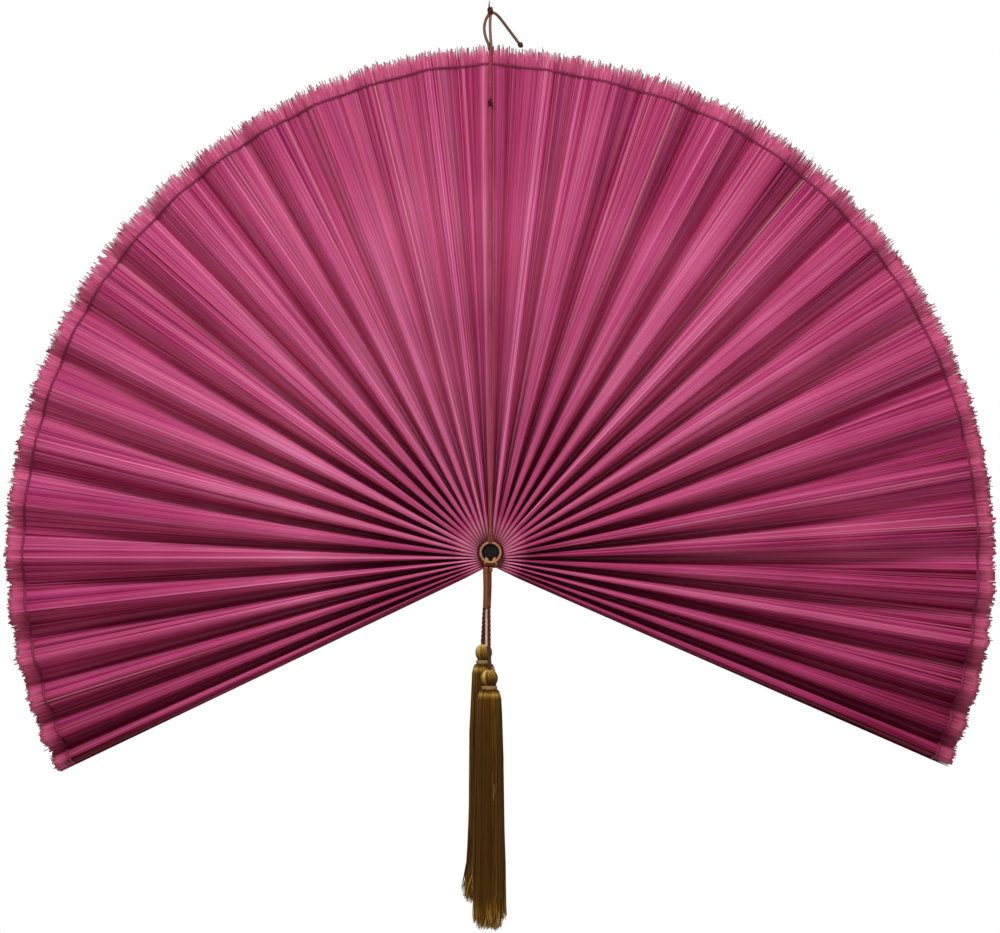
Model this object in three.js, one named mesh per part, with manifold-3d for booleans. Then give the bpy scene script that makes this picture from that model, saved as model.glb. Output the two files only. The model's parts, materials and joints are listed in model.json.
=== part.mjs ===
// A pleated bamboo wall fan that hangs from a nail by a cord, with two tassels under its hub.
// Millimetres. +Z is up, +X is to the right as one faces the fan, and the wall is on the +Y side.
// The origin is where the nail holds the hanging loop, just under the loop's knot.

import * as THREE from 'three';
import { mergeVertices } from 'three/addons/utils/BufferGeometryUtils.js';
import Module from 'manifold-3d';

// Leaf: one bamboo mat in 36 pleats, each a V with its ridge to the front
const HUB_DROP = 455; // from the nail down to the hub's centre
const LEAF_RADIUS = 429; // from the hub's centre to the splints' tips
const LEAF_INNER_RADIUS = 11.6; // where the splints' inner ends start
const FLANK_WIDTH = 29; // width of one side of a pleat, flat
const MAT_THICKNESS = 0.9; // splints with their stitching
const LEFT_PLEATS = 18; // left of the centre pleat
const RIGHT_PLEATS = 17; // right of the centre pleat
const LEFT_SPAN = 116.1; // degrees from the centre ridge to the last left ridge
const RIGHT_SPAN = 114.2; // degrees from the centre ridge to the last right ridge
const INNER_SPAN = 154; // degrees from straight up to the last ridges' packed inner ends
const CROWDED_PLEATS = 5; // pitches at each end that close up towards the edge
const LAST_PITCH_SHARE = 0.5; // the last pitch, as a share of the even pitch
const EDGE_FLANK_ANGLE = 0.7; // degrees that each edge flank spreads past the last ridge
const LEFT_SHORTER_BY = 16.5; // the left side is trimmed shorter than the right
const SHORTENING_PLEATS = 9; // pleats over which the rim comes in to that radius

// Hub: a turned ring in front of a black core that the splints are gathered round
const RING_OUTER_RADIUS = 11.5;
const RING_INNER_RADIUS = 7.5;
const RING_DEPTH = 4.7; // front to back
const RING_ROUNDING = 1.4;
const CORE_DRUM_RADIUS = 11.2;
const CORE_RECESS = 2.2; // core's face behind the ring's face
const DRUM_PROUD = 0.3; // drum's back past the pleats, where it meets the wall
const GATHER_CORD_DIAMETER = 2;
const GATHER_RADIUS = 13.4; // circle on which the gather cord threads the pleats
const GATHER_KNOT_RADIUS = 1.9;
const GATHER_KNOT_PAST_EDGE = 9; // degrees from the edge flank to the stop knot

// Hanging cord: up the front of the centre ridge, over the rim, and to a knotted loop
const CORD_DIAMETER = 2.5;
const CORD_HITCH_WIDTH = 5; // across both strands, where it is tied to the ring
const MID_KNOT_BELOW_NAIL = 74; // small knot on the front of the centre ridge
const KNOT_RADIUS = 2.7;
const RIM_TURN_DROP = 2; // the cord leaves the ridge for the nail this far under the rim
const LOOP_BULGE = 3.4; // the left strand of the loop stands out this far; the right one is straight
const TOP_KNOT_ABOVE_NAIL = 4.9;
const TOP_KNOT_HALF_HEIGHT = 3.4;
const TOP_KNOT_HALF_WIDTH = 2.6;
const TAIL_REACH = 25.5; // tail knot to the right of the nail

// Tassels: a doubled cord from the ring's foot, which parts into two strands
const TASSEL_HITCH_WIDTH = 10;
const HITCH_WALL = 2; // cord thickness round the ring
const DROP_LENGTH = 34; // of the doubled cord
const DROP_HALF_WIDTH = 3.5;
const DROP_HALF_DEPTH = 1.8;
const DROP_LEFT_OF_HUB = 1.2;
const DROP_SLANT = 1.6; // its foot hangs this far left of its top
const DROP_NECK_LENGTH = 6; // drawn in this far down from its top
const STRAND_DIAMETER = 2.6;
const STRAND_SPREAD = 2; // each strand's top, left or right of the doubled cord's foot
const REAR_STRAND_LENGTH = 27.9;
const FRONT_STRAND_LENGTH = 49;
const TASSEL_HEAD_RADIUS = 7.4;
const TASSEL_HEAD_HEIGHT = 13.5;
const BAND_RADIUS = 6.7;
const BAND_HEIGHT = 3;
const SKIRT_LENGTH = 204.5;
const SKIRT_SHOULDER = 5; // height of the rounding under the band
const SKIRT_TOP_RADIUS = 9.2;
const SKIRT_FOOT_RADIUS = 14;
const SKIRT_FLATTENING = 0.55; // depth over width, because the two hang pressed together
const REAR_TASSEL_LEFT_OF_HUB = 5.7;
const FRONT_TASSEL_LEFT_OF_HUB = 0.8;

// Fits
const CLEARANCE = 0.3; // between two pieces that touch
const PIVOT_CLEARANCE = 0.5; // over a cord's top end, where it swings

const COLOURS = {
  splints: [0xa8325f, 0.55, 0],
  ring: [0x5a1512, 0.35, 0],
  core: [0x14100f, 0.5, 0],
  cord: [0x6b4028, 0.6, 0],
  tassel: [0x7a6228, 0.7, 0],
};

const wasm = await Module();
wasm.setup();

// Mesh helpers

function bare(geometry) {
  const copy = geometry.clone();
  copy.deleteAttribute('normal');
  copy.deleteAttribute('uv');
  return mergeVertices(copy, 1e-4);
}

function toSolid(geometry) {
  const merged = bare(geometry);
  const vertProperties = new Float32Array(merged.attributes.position.array);
  const triVerts = new Uint32Array(merged.index.array);
  return new wasm.Manifold(new wasm.Mesh({ numProp: 3, vertProperties, triVerts }));
}

function toGeometry(solid) {
  const mesh = solid.getMesh();
  const geometry = new THREE.BufferGeometry();
  geometry.setAttribute('position', new THREE.BufferAttribute(mesh.vertProperties, 3));
  geometry.setIndex(new THREE.BufferAttribute(mesh.triVerts, 1));
  return geometry;
}

function piece(name, geometry, finish) {
  const [color, roughness, metalness] = COLOURS[finish];
  const mesh = new THREE.Mesh(
    geometry,
    new THREE.MeshStandardMaterial({ color, roughness, metalness }),
  );
  mesh.name = name;
  return mesh;
}

function vec(x, y, z) {
  return new THREE.Vector3(x, y, z);
}

// A cord along hand-placed points. Its section is a polygon of the given half width and depth.
function cordTube(points, halfWidth, halfDepth, sides, steps) {
  const section = new THREE.Shape();
  for (let i = 0; i < sides; i += 1) {
    const turn = (2 * Math.PI * (i + 0.5)) / sides;
    const [x, y] = [halfDepth * Math.cos(turn), halfWidth * Math.sin(turn)];
    if (i === 0) section.moveTo(x, y);
    else section.lineTo(x, y);
  }
  section.closePath();
  const extrudePath = new THREE.CatmullRomCurve3(points);
  return new THREE.ExtrudeGeometry(section, { steps, bevelEnabled: false, extrudePath });
}

function roundCord(points, diameter, steps) {
  return cordTube(points, diameter / 2, diameter / 2, 8, steps);
}

// A turned shape about +Y, from profile points of radius and depth
function turned(profile, segments) {
  return new THREE.LatheGeometry(profile.map(([r, y]) => new THREE.Vector2(r, y)), segments);
}

// A turned shape about +Z, from profile points of radius and height
function turnedUpright(profile, segments) {
  return turned(profile, segments).rotateX(Math.PI / 2);
}

function knot(halfWidth, halfHeight) {
  return new THREE.SphereGeometry(1, 10, 7).scale(halfWidth, halfWidth, halfHeight);
}

// Leaf

// Angles of one side's ridges from the centre ridge, in radians. The pitch is even, then
// closes up over the last few pleats.
function ridgeAngles(count, spanDegrees) {
  const shares = [];
  for (let i = 1; i <= count; i += 1) {
    const crowd = Math.max(0, i - (count - CROWDED_PLEATS)) / CROWDED_PLEATS;
    shares.push(1 - (1 - LAST_PITCH_SHARE) * crowd ** 1.3);
  }
  const total = shares.reduce((sum, share) => sum + share, 0);
  let angle = 0;
  return shares.map((share) => {
    angle += (THREE.MathUtils.degToRad(spanDegrees) * share) / total;
    return angle;
  });
}

// Ridges from the left edge to the right, measured clockwise from straight up
const leftRidges = ridgeAngles(LEFT_PLEATS, LEFT_SPAN).map((angle) => -angle).reverse();
const ridges = [...leftRidges, 0, ...ridgeAngles(RIGHT_PLEATS, RIGHT_SPAN)];
const centrePleat = LEFT_PLEATS;
const lastPleat = ridges.length - 1;
const edgeFlank = THREE.MathUtils.degToRad(EDGE_FLANK_ANGLE);

// The rim's radius at a pleat, which eases in to the shorter left side
function rimRadius(index) {
  const out = THREE.MathUtils.clamp((centrePleat - index) / SHORTENING_PLEATS, 0, 1);
  return LEAF_RADIUS - LEFT_SHORTER_BY * out * out * (3 - 2 * out);
}

// A ridge's inner end on the gather cord's circle. All are packed round it at an even pitch,
// and a half step past the last one is the edge flank's.
function innerAngle(index) {
  const out = index - centrePleat;
  return (THREE.MathUtils.degToRad(INNER_SPAN) * out) / (out < 0 ? LEFT_PLEATS : RIGHT_PLEATS);
}

// The angle at a radius of the straight line from an inner end to its place on the rim
function lineAngle(inner, outer, rim, radius) {
  const turn = inner - outer;
  const length = Math.sqrt(
    GATHER_RADIUS ** 2 + rim ** 2 - 2 * GATHER_RADIUS * rim * Math.cos(turn),
  );
  const besideCentre = (GATHER_RADIUS * rim * Math.sin(turn)) / length;
  return outer + Math.asin(besideCentre / radius) - Math.asin(besideCentre / rim);
}

function ridgeAt(index, radius) {
  return lineAngle(innerAngle(index), ridges[index], rimRadius(index), radius);
}

// Angles from a pleat's ridge to its two valleys at a radius
function halfAngles(index, radius) {
  const ridge = ridgeAt(index, radius);
  const rim = rimRadius(index);
  const left = index > 0 ? (ridge - ridgeAt(index - 1, radius)) / 2
    : ridge - lineAngle(innerAngle(-0.5), ridges[0] - edgeFlank, rim, radius);
  const right = index < lastPleat ? (ridgeAt(index + 1, radius) - ridge) / 2
    : lineAngle(innerAngle(lastPleat + 0.5), ridges[lastPleat] + edgeFlank, rim, radius) - ridge;
  const middle = index === 0 ? right : index === lastPleat ? left : (left + right) / 2;
  return { left, right, middle };
}

// How deep a flank of constant width stands when it spreads over a half angle at a radius
function pleatDepth(radius, halfAngle) {
  const across = radius * Math.sin(halfAngle);
  return Math.sqrt(Math.max(FLANK_WIDTH ** 2 - across ** 2, (FLANK_WIDTH / 6) ** 2));
}

// One side of a pleat's section at a radius: its valley edge and the mat's inner face there.
// Room is what the edge leaves free towards the next pleat.
function flank(radius, half, ridgeY, room) {
  const valleyY = pleatDepth(radius, half) / 2;
  const x = radius * Math.sin(half) - room * Math.cos(half);
  const z = radius * Math.cos(half) + room * Math.sin(half);
  const width = Math.hypot(x, valleyY - ridgeY);
  const across = Math.min((MAT_THICKNESS * (valleyY - ridgeY)) / width, 0.6 * x);
  const innerY = valleyY + (MAT_THICKNESS * x) / width;
  const notchY = Math.min(ridgeY + (MAT_THICKNESS * width) / x, innerY - CLEARANCE);
  return { x, z, valleyY, innerX: x - across, innerY, notchY };
}

// A pleat points along +Z with its ridge towards -Y, and is turned to its place by its mesh
function pleatGeometry(index) {
  const rim = rimRadius(index);
  const stations = [0, 0.07, 0.22, 0.4, 0.6, 0.8, 1].map(
    (share) => LEAF_INNER_RADIUS + share * (rim - LEAF_INNER_RADIUS),
  );
  const positions = [];
  for (const radius of stations) {
    const half = halfAngles(index, radius);
    const ridgeY = -pleatDepth(radius, half.middle) / 2;
    const left = flank(radius, half.left, ridgeY, index > 0 ? CLEARANCE / 2 : 0);
    const right = flank(radius, half.right, ridgeY, index < lastPleat ? CLEARANCE / 2 : 0);
    const section = [
      [0, ridgeY, radius],
      [right.x, right.valleyY, right.z],
      [right.innerX, right.innerY, right.z],
      [0, Math.min(left.notchY, right.notchY), radius],
      [-left.innerX, left.innerY, left.z],
      [-left.x, left.valleyY, left.z],
    ];
    const skew = ridgeAt(index, radius) - ridges[index];
    for (const [x, y, z] of section) {
      positions.push(x * Math.cos(skew) + z * Math.sin(skew), y);
      positions.push(z * Math.cos(skew) - x * Math.sin(skew));
    }
  }
  const indices = [];
  const around = 6;
  for (let s = 0; s < stations.length - 1; s += 1) {
    for (let k = 0; k < around; k += 1) {
      const [a, b] = [s * around + k, s * around + ((k + 1) % around)];
      if (k < around / 2) indices.push(a, b, b + around, a, b + around, a + around);
      else indices.push(a, b, a + around, b, b + around, a + around);
    }
  }
  const end = (stations.length - 1) * around;
  for (const [a, b] of [[0, 1], [1, 2], [4, 5], [5, 0]]) {
    indices.push(b, a, 3, end + a, end + b, end + 3);
  }
  const geometry = new THREE.BufferGeometry();
  geometry.setAttribute('position', new THREE.Float32BufferAttribute(positions, 3));
  geometry.setIndex(indices);
  return geometry;
}

// The splints' inner ends have a slot, open towards the hub, for the gather cord
const slotHalf = GATHER_CORD_DIAMETER / 2 + CLEARANCE + 0.1;
const slot = toSolid(new THREE.BoxGeometry(
  2 * LEAF_INNER_RADIUS,
  2 * slotHalf,
  2 * (GATHER_RADIUS + slotHalf),
));

function pleat(index) {
  const name = `pleat_${String(index + 1).padStart(2, '0')}`;
  const skew = THREE.MathUtils.radToDeg(innerAngle(index) - ridges[index]);
  const solid = toSolid(pleatGeometry(index)).subtract(slot.rotate([0, skew, 0]));
  const mesh = piece(name, toGeometry(solid), 'splints');
  mesh.rotation.y = ridges[index];
  return mesh;
}

// Hub, about the Y axis through its centre

const hubFrontY = -FLANK_WIDTH / 2; // the ridges' inner ends
const hubBackY = FLANK_WIDTH / 2;
const ringBackY = hubFrontY - HITCH_WALL - 2 * CLEARANCE; // room for the cords behind it
const ringFrontY = ringBackY - RING_DEPTH;
const ringMiddleY = (ringBackY + ringFrontY) / 2;

function ringProfile(grow) {
  const [inner, outer] = [RING_INNER_RADIUS - grow, RING_OUTER_RADIUS + grow];
  const [front, back] = [ringFrontY - grow, ringBackY + grow];
  const cut = RING_ROUNDING;
  return [
    [inner, back - cut], [inner, front + cut], [inner + cut / 3, front + cut / 3],
    [inner + cut, front], [outer - cut, front], [outer - cut / 3, front + cut / 3],
    [outer, front + cut], [outer, back - cut], [outer - cut, back], [inner + cut, back],
    [inner, back - cut],
  ];
}

// A cord tied round the ring: a closed sleeve with the ring's own shape left out of it
function ringHitch(width, atFoot) {
  const reach = RING_OUTER_RADIUS - RING_INNER_RADIUS + 2 * (CLEARANCE + HITCH_WALL);
  const depth = RING_DEPTH + 2 * (CLEARANCE + HITCH_WALL);
  const block = new THREE.CylinderGeometry(reach / 2, reach / 2, width, 12)
    .rotateZ(Math.PI / 2)
    .rotateX(Math.PI / 12)
    .scale(1, depth / reach, 1)
    .translate(0, ringMiddleY, (RING_OUTER_RADIUS + RING_INNER_RADIUS) / 2);
  const square = new THREE.BoxGeometry(width, depth - HITCH_WALL, reach - HITCH_WALL)
    .translate(0, ringMiddleY, (RING_OUTER_RADIUS + RING_INNER_RADIUS) / 2);
  const ringSpace = toSolid(turned(ringProfile(CLEARANCE), 32));
  const sleeve = toGeometry(toSolid(block).add(toSolid(square)).subtract(ringSpace));
  return atFoot ? sleeve.rotateY(Math.PI) : sleeve;
}

function hubCore() {
  const neck = RING_INNER_RADIUS - CLEARANCE;
  const drumFront = ringBackY + CLEARANCE;
  const drum = toSolid(turned([
    [0, ringFrontY + CORE_RECESS], [neck, ringFrontY + CORE_RECESS], [neck, drumFront],
    [CORE_DRUM_RADIUS, drumFront], [CORE_DRUM_RADIUS, hubBackY + DRUM_PROUD],
    [0, hubBackY + DRUM_PROUD],
  ], 32));
  const hitchReach = CLEARANCE + HITCH_WALL;
  const inside = RING_INNER_RADIUS - hitchReach - CLEARANCE;
  const outside = RING_OUTER_RADIUS + hitchReach;
  function hitchSpace(width, side) {
    return toSolid(new THREE.BoxGeometry(
      width + 2 * CLEARANCE,
      RING_DEPTH + 2 * hitchReach + 2 * CLEARANCE,
      outside - inside,
    ).translate(0, ringMiddleY, (side * (inside + outside)) / 2));
  }
  const cut = drum
    .subtract(hitchSpace(TASSEL_HITCH_WIDTH, -1))
    .subtract(hitchSpace(CORD_HITCH_WIDTH, 1));
  return piece('hub_core', toGeometry(cut), 'core');
}

function gatherCord() {
  const pastEdge = THREE.MathUtils.degToRad(GATHER_KNOT_PAST_EDGE);
  const from = innerAngle(-0.5) - pastEdge;
  const to = innerAngle(lastPleat + 0.5) + pastEdge;
  const points = [];
  const stops = 24;
  for (let i = 0; i <= stops; i += 1) {
    const angle = from + ((to - from) * i) / stops;
    points.push(vec(GATHER_RADIUS * Math.sin(angle), 0, GATHER_RADIUS * Math.cos(angle)));
  }
  let cord = toSolid(roundCord(points, GATHER_CORD_DIAMETER, stops));
  for (const end of [points[0], points[stops]]) {
    const stopKnot = knot(GATHER_KNOT_RADIUS, GATHER_KNOT_RADIUS).translate(end.x, 0, end.z);
    cord = cord.add(toSolid(stopKnot));
  }
  return piece('gather_cord', toGeometry(cord), 'cord');
}

// Hanging cord, in the frame of the nail

const cordOff = CORD_DIAMETER / 2 + CLEARANCE;

// Where the cord's middle lies on the front of the centre ridge, this far below the nail
function onRidge(belowNail) {
  const radius = HUB_DROP - belowNail;
  const depth = pleatDepth(radius, halfAngles(centrePleat, radius).middle);
  return vec(0, -depth / 2 - cordOff, -belowNail);
}

const hitchTop = HUB_DROP - RING_OUTER_RADIUS - 2 * CLEARANCE - HITCH_WALL;
const rimTurn = HUB_DROP - LEAF_RADIUS + RIM_TURN_DROP;
const rimCordEnd = onRidge(rimTurn).add(vec(0, -CLEARANCE, 0));

function hangingCord() {
  const knotHalf = KNOT_RADIUS + CLEARANCE;
  const lowerEnd = MID_KNOT_BELOW_NAIL + knotHalf;
  const lower = [vec(0, ringMiddleY, -hitchTop)];
  const lowerStops = 12;
  for (let i = 1; i <= lowerStops; i += 1) {
    const share = i / lowerStops;
    lower.push(onRidge(hitchTop + (lowerEnd - hitchTop) * share));
  }
  const upper = [0, 0.33, 0.66].map((share) => onRidge(
    MID_KNOT_BELOW_NAIL - knotHalf + (rimTurn - MID_KNOT_BELOW_NAIL + knotHalf) * share,
  ));
  upper.push(rimCordEnd);
  const middle = onRidge(MID_KNOT_BELOW_NAIL).add(vec(0, cordOff - KNOT_RADIUS - CLEARANCE, 0));
  const midKnot = piece('mid_knot', knot(KNOT_RADIUS, KNOT_RADIUS), 'cord');
  midKnot.position.copy(middle);
  return [
    piece('hanging_cord_lower', roundCord(lower, CORD_DIAMETER, 48), 'cord'),
    midKnot,
    piece('hanging_cord_upper', roundCord(upper, CORD_DIAMETER, 9), 'cord'),
  ];
}

// The loop's two strands rise from the rim to the knot, and the nail goes between them
const loopFoot = rimCordEnd.clone().add(vec(0, 0, CLEARANCE));
const strandGap = CORD_DIAMETER / 2 + CLEARANCE / 2;
const knotFoot = TOP_KNOT_ABOVE_NAIL - TOP_KNOT_HALF_HEIGHT - CLEARANCE;

function loopStrand(name, side, bulge) {
  const rise = knotFoot - loopFoot.z;
  const points = [
    vec(side * strandGap, loopFoot.y, loopFoot.z),
    vec(side * strandGap, loopFoot.y, loopFoot.z + 0.12 * rise),
    vec(side * (strandGap + 0.6 * bulge), loopFoot.y * 0.8, loopFoot.z + 0.33 * rise),
    vec(side * (strandGap + bulge), loopFoot.y * 0.4, loopFoot.z + 0.6 * rise),
    vec(side * (strandGap + 0.6 * bulge), loopFoot.y * 0.1, loopFoot.z + 0.85 * rise),
    vec(side * strandGap, 0, knotFoot),
  ];
  return piece(name, roundCord(points, CORD_DIAMETER, 12), 'cord');
}

function topKnot() {
  const mesh = piece('top_knot', knot(TOP_KNOT_HALF_WIDTH, TOP_KNOT_HALF_HEIGHT), 'cord');
  mesh.position.set(0, 0, TOP_KNOT_ABOVE_NAIL);
  return mesh;
}

// The tail runs from the knot down to the right, and its own small knot rests on the rim
function tail() {
  const restZ = Math.sqrt(LEAF_RADIUS ** 2 - TAIL_REACH ** 2) - HUB_DROP + CLEARANCE;
  const thick = CORD_DIAMETER;
  const end = vec(TAIL_REACH, 0.8 * thick, restZ + KNOT_RADIUS);
  const start = vec(TOP_KNOT_HALF_WIDTH + CLEARANCE, 0, TOP_KNOT_ABOVE_NAIL - 0.6 * thick);
  const toEnd = vec(0.66, 0, -0.75).multiplyScalar(KNOT_RADIUS + CLEARANCE);
  const foot = end.clone().sub(toEnd);
  const cord = roundCord([
    start,
    vec(start.x + 0.9 * thick, 0, start.z - 0.6 * thick),
    vec(start.x + 2.4 * thick, 0.16 * thick, start.z - 2.2 * thick),
    vec(foot.x - 2.4 * thick, 0.56 * thick, foot.z + 3.2 * thick),
    foot,
  ], thick, 12);
  const tailKnot = piece('tail_knot', knot(KNOT_RADIUS, KNOT_RADIUS), 'cord');
  tailKnot.position.copy(end);
  return [piece('tail_cord', cord, 'cord'), tailKnot];
}

// Tassels, in the frame of the nail

const dropTop = vec(-DROP_LEFT_OF_HUB, ringMiddleY, -(HUB_DROP + RING_OUTER_RADIUS + 2 * CLEARANCE
  + HITCH_WALL + 2 * PIVOT_CLEARANCE - CLEARANCE));
const dropFoot = dropTop.clone().add(vec(-DROP_SLANT, 0, -DROP_LENGTH));

// A cord end that swings is drawn in at its top, so that it clears what holds it
function swingingCord(points, halfWidth, halfDepth, steps, neckLength, neckShare) {
  const geometry = cordTube(points, halfWidth, halfDepth, 8, steps);
  const top = points[0];
  const at = geometry.attributes.position;
  const point = new THREE.Vector3();
  for (let i = 0; i < at.count; i += 1) {
    point.fromBufferAttribute(at, i);
    const below = top.z - point.z;
    const share = THREE.MathUtils.clamp(below / neckLength, 0, 1);
    const width = neckShare + (1 - neckShare) * share;
    const axisX = top.x + ((points.at(-1).x - top.x) * below) / (top.z - points.at(-1).z);
    at.setX(i, axisX + (point.x - axisX) * width);
  }
  return geometry;
}

function tasselDrop() {
  const points = [0, 0.08, 0.16, 0.3, 0.5, 0.75, 1].map(
    (share) => dropTop.clone().lerp(dropFoot, share),
  );
  const cord = swingingCord(points, DROP_HALF_WIDTH, DROP_HALF_DEPTH, 12,
    DROP_NECK_LENGTH, 0.2);
  return piece('tassel_cord', cord, 'cord');
}

function skirtProfile() {
  const profile = [
    [0, 0], [0.94 * BAND_RADIUS, 0], [0.92 * SKIRT_TOP_RADIUS, -SKIRT_SHOULDER / 2],
  ];
  const steps = 8;
  for (let i = 0; i <= steps; i += 1) {
    const share = i / steps;
    const radius = SKIRT_TOP_RADIUS
      + (SKIRT_FOOT_RADIUS - SKIRT_TOP_RADIUS) * share ** 0.6;
    profile.push([radius, -SKIRT_SHOULDER - (SKIRT_LENGTH - SKIRT_SHOULDER) * share]);
  }
  profile.push([0, -SKIRT_LENGTH]);
  return profile.reverse();
}

function headProfile() {
  const steps = 7;
  const profile = [];
  for (let i = 0; i <= steps; i += 1) {
    const turn = (Math.PI * i) / steps - Math.PI / 2;
    const flatFoot = i === 0 ? 0 : TASSEL_HEAD_RADIUS * Math.cos(turn);
    profile.push([flatFoot, (TASSEL_HEAD_HEIGHT / 2) * (Math.sin(turn) - 1)]);
  }
  profile[0][0] = 0;
  profile.splice(1, 0, [0.76 * BAND_RADIUS, profile[0][1]]);
  profile.at(-1)[0] = 0;
  return profile;
}

// A strand with its tassel, whose pieces are stacked down from the strand's foot
function tassel(name, side, leftOfHub, strandLength) {
  const depthOff = SKIRT_FOOT_RADIUS * SKIRT_FLATTENING + CLEARANCE / 2;
  const top = dropFoot.clone().add(vec(side * STRAND_SPREAD, side * -DROP_HALF_DEPTH / 2,
    -2 * PIVOT_CLEARANCE + CLEARANCE / 2));
  const foot = vec(-leftOfHub, ringMiddleY - side * depthOff, top.z - strandLength);
  const points = [0, 0.06, 0.3, 0.6, 0.85, 1].map((share) => {
    const eased = share * share * (3 - 2 * share);
    return vec(
      top.x + (foot.x - top.x) * eased,
      top.y + (foot.y - top.y) * eased,
      top.z + (foot.z - top.z) * share,
    );
  });
  const strand = swingingCord(points, STRAND_DIAMETER / 2, STRAND_DIAMETER / 2, 14,
    STRAND_DIAMETER, 0.4);
  const head = piece(`${name}_head`, turnedUpright(headProfile(), 16), 'tassel');
  head.position.set(foot.x, foot.y, foot.z - CLEARANCE);
  const bandEdge = 0.9 * BAND_RADIUS;
  const band = piece(`${name}_band`, turnedUpright([
    [0, -BAND_HEIGHT], [bandEdge, -BAND_HEIGHT], [BAND_RADIUS, -BAND_HEIGHT / 2],
    [bandEdge, 0], [0, 0],
  ], 16), 'tassel');
  band.position.set(foot.x, foot.y, head.position.z - TASSEL_HEAD_HEIGHT - CLEARANCE);
  const skirtShape = turnedUpright(skirtProfile(), 16).scale(1, SKIRT_FLATTENING, 1);
  const skirt = piece(`${name}_skirt`, skirtShape, 'tassel');
  skirt.position.set(foot.x, foot.y, band.position.z - BAND_HEIGHT - CLEARANCE);
  return [piece(`${name}_strand`, strand, 'cord'), head, band, skirt];
}

// Assembly

const fan = new THREE.Group();
const hub = new THREE.Group();
hub.position.z = -HUB_DROP;
fan.add(hub);
ridges.forEach((_, index) => hub.add(pleat(index)));
hub.add(piece('hub_ring', turned(ringProfile(0), 32), 'ring'));
hub.add(hubCore());
hub.add(gatherCord());
hub.add(piece('cord_hitch', ringHitch(CORD_HITCH_WIDTH, false), 'cord'));
hub.add(piece('tassel_hitch', ringHitch(TASSEL_HITCH_WIDTH, true), 'cord'));
fan.add(...hangingCord());
fan.add(loopStrand('loop_left', -1, LOOP_BULGE));
fan.add(loopStrand('loop_right', 1, 0));
fan.add(topKnot());
fan.add(...tail());
fan.add(tasselDrop());
fan.add(...tassel('rear_tassel', -1, REAR_TASSEL_LEFT_OF_HUB, REAR_STRAND_LENGTH));
fan.add(...tassel('front_tassel', 1, FRONT_TASSEL_LEFT_OF_HUB, FRONT_STRAND_LENGTH));

export default fan;
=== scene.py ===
import json
import math
import random

import bmesh
import bpy
from bpy.props import FloatProperty, FloatVectorProperty, IntProperty, PointerProperty
from mathutils import Color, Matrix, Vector, noise


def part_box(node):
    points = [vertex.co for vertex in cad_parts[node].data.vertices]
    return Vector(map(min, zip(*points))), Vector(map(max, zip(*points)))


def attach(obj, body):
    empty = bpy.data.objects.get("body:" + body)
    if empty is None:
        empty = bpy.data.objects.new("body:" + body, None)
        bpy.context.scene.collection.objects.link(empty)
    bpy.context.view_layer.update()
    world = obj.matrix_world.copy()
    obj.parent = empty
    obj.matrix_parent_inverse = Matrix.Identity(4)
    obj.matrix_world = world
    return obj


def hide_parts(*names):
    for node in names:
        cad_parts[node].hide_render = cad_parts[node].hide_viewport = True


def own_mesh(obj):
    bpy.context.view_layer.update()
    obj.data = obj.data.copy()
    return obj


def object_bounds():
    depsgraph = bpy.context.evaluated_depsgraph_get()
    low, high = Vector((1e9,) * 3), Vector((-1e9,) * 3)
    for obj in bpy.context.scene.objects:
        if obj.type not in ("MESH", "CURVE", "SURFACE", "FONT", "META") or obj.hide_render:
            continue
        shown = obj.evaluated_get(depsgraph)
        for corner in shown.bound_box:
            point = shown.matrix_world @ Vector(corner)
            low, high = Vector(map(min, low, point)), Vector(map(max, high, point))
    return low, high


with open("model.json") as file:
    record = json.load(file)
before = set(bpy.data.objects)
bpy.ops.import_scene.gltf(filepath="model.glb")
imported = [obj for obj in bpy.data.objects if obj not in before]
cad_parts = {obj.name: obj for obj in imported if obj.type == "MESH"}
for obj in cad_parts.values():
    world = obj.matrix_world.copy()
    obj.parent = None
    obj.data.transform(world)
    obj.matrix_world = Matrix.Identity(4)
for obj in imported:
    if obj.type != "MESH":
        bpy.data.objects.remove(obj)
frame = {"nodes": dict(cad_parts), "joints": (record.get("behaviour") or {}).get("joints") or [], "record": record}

bl_info = {
    "name": "Pleated bamboo wall fan",
    "version": (1, 0, 0),
    "blender": (4, 5, 0),
    "location": "3D View > Sidebar > Wall fan",
    "description": "Dresses a pleated bamboo wall fan with its splints, cords and tassels",
    "category": "Object",
}

MM = 0.001
cad_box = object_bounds()
hub_centre = Vector(next(j for j in frame["joints"] if j["name"] == "left_wing_fold")["pos_m"])
pleats = sorted(name for name in frame["nodes"] if name.startswith("pleat_"))
centre_pleat = next(name for name in pleats if name in frame["record"]["behaviour"]["bodies"]["root"])
leaf_low, leaf_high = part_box(centre_pleat)


def colour_setting(name, description, default):
    return FloatVectorProperty(
        name=name, description=description, default=default,
        size=3, min=0.0, max=1.0, subtype="COLOR_GAMMA",
    )


def length_setting(name, description, millimetres, least=0.0):
    return FloatProperty(
        name=name, description=description, default=millimetres * MM,
        min=least * MM, unit="LENGTH", precision=5,
    )


def share_setting(name, description, default, least, most=1.0):
    return FloatProperty(
        name=name, description=description, default=default, min=least, max=most, subtype="FACTOR",
    )


def light_setting(name, description, default, unit="NONE"):
    return FloatProperty(name=name, description=description, default=default, min=0.0, unit=unit)


def count_setting(name, description, default, fewest, most):
    return IntProperty(name=name, description=description, default=default, min=fewest, max=most)


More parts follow.
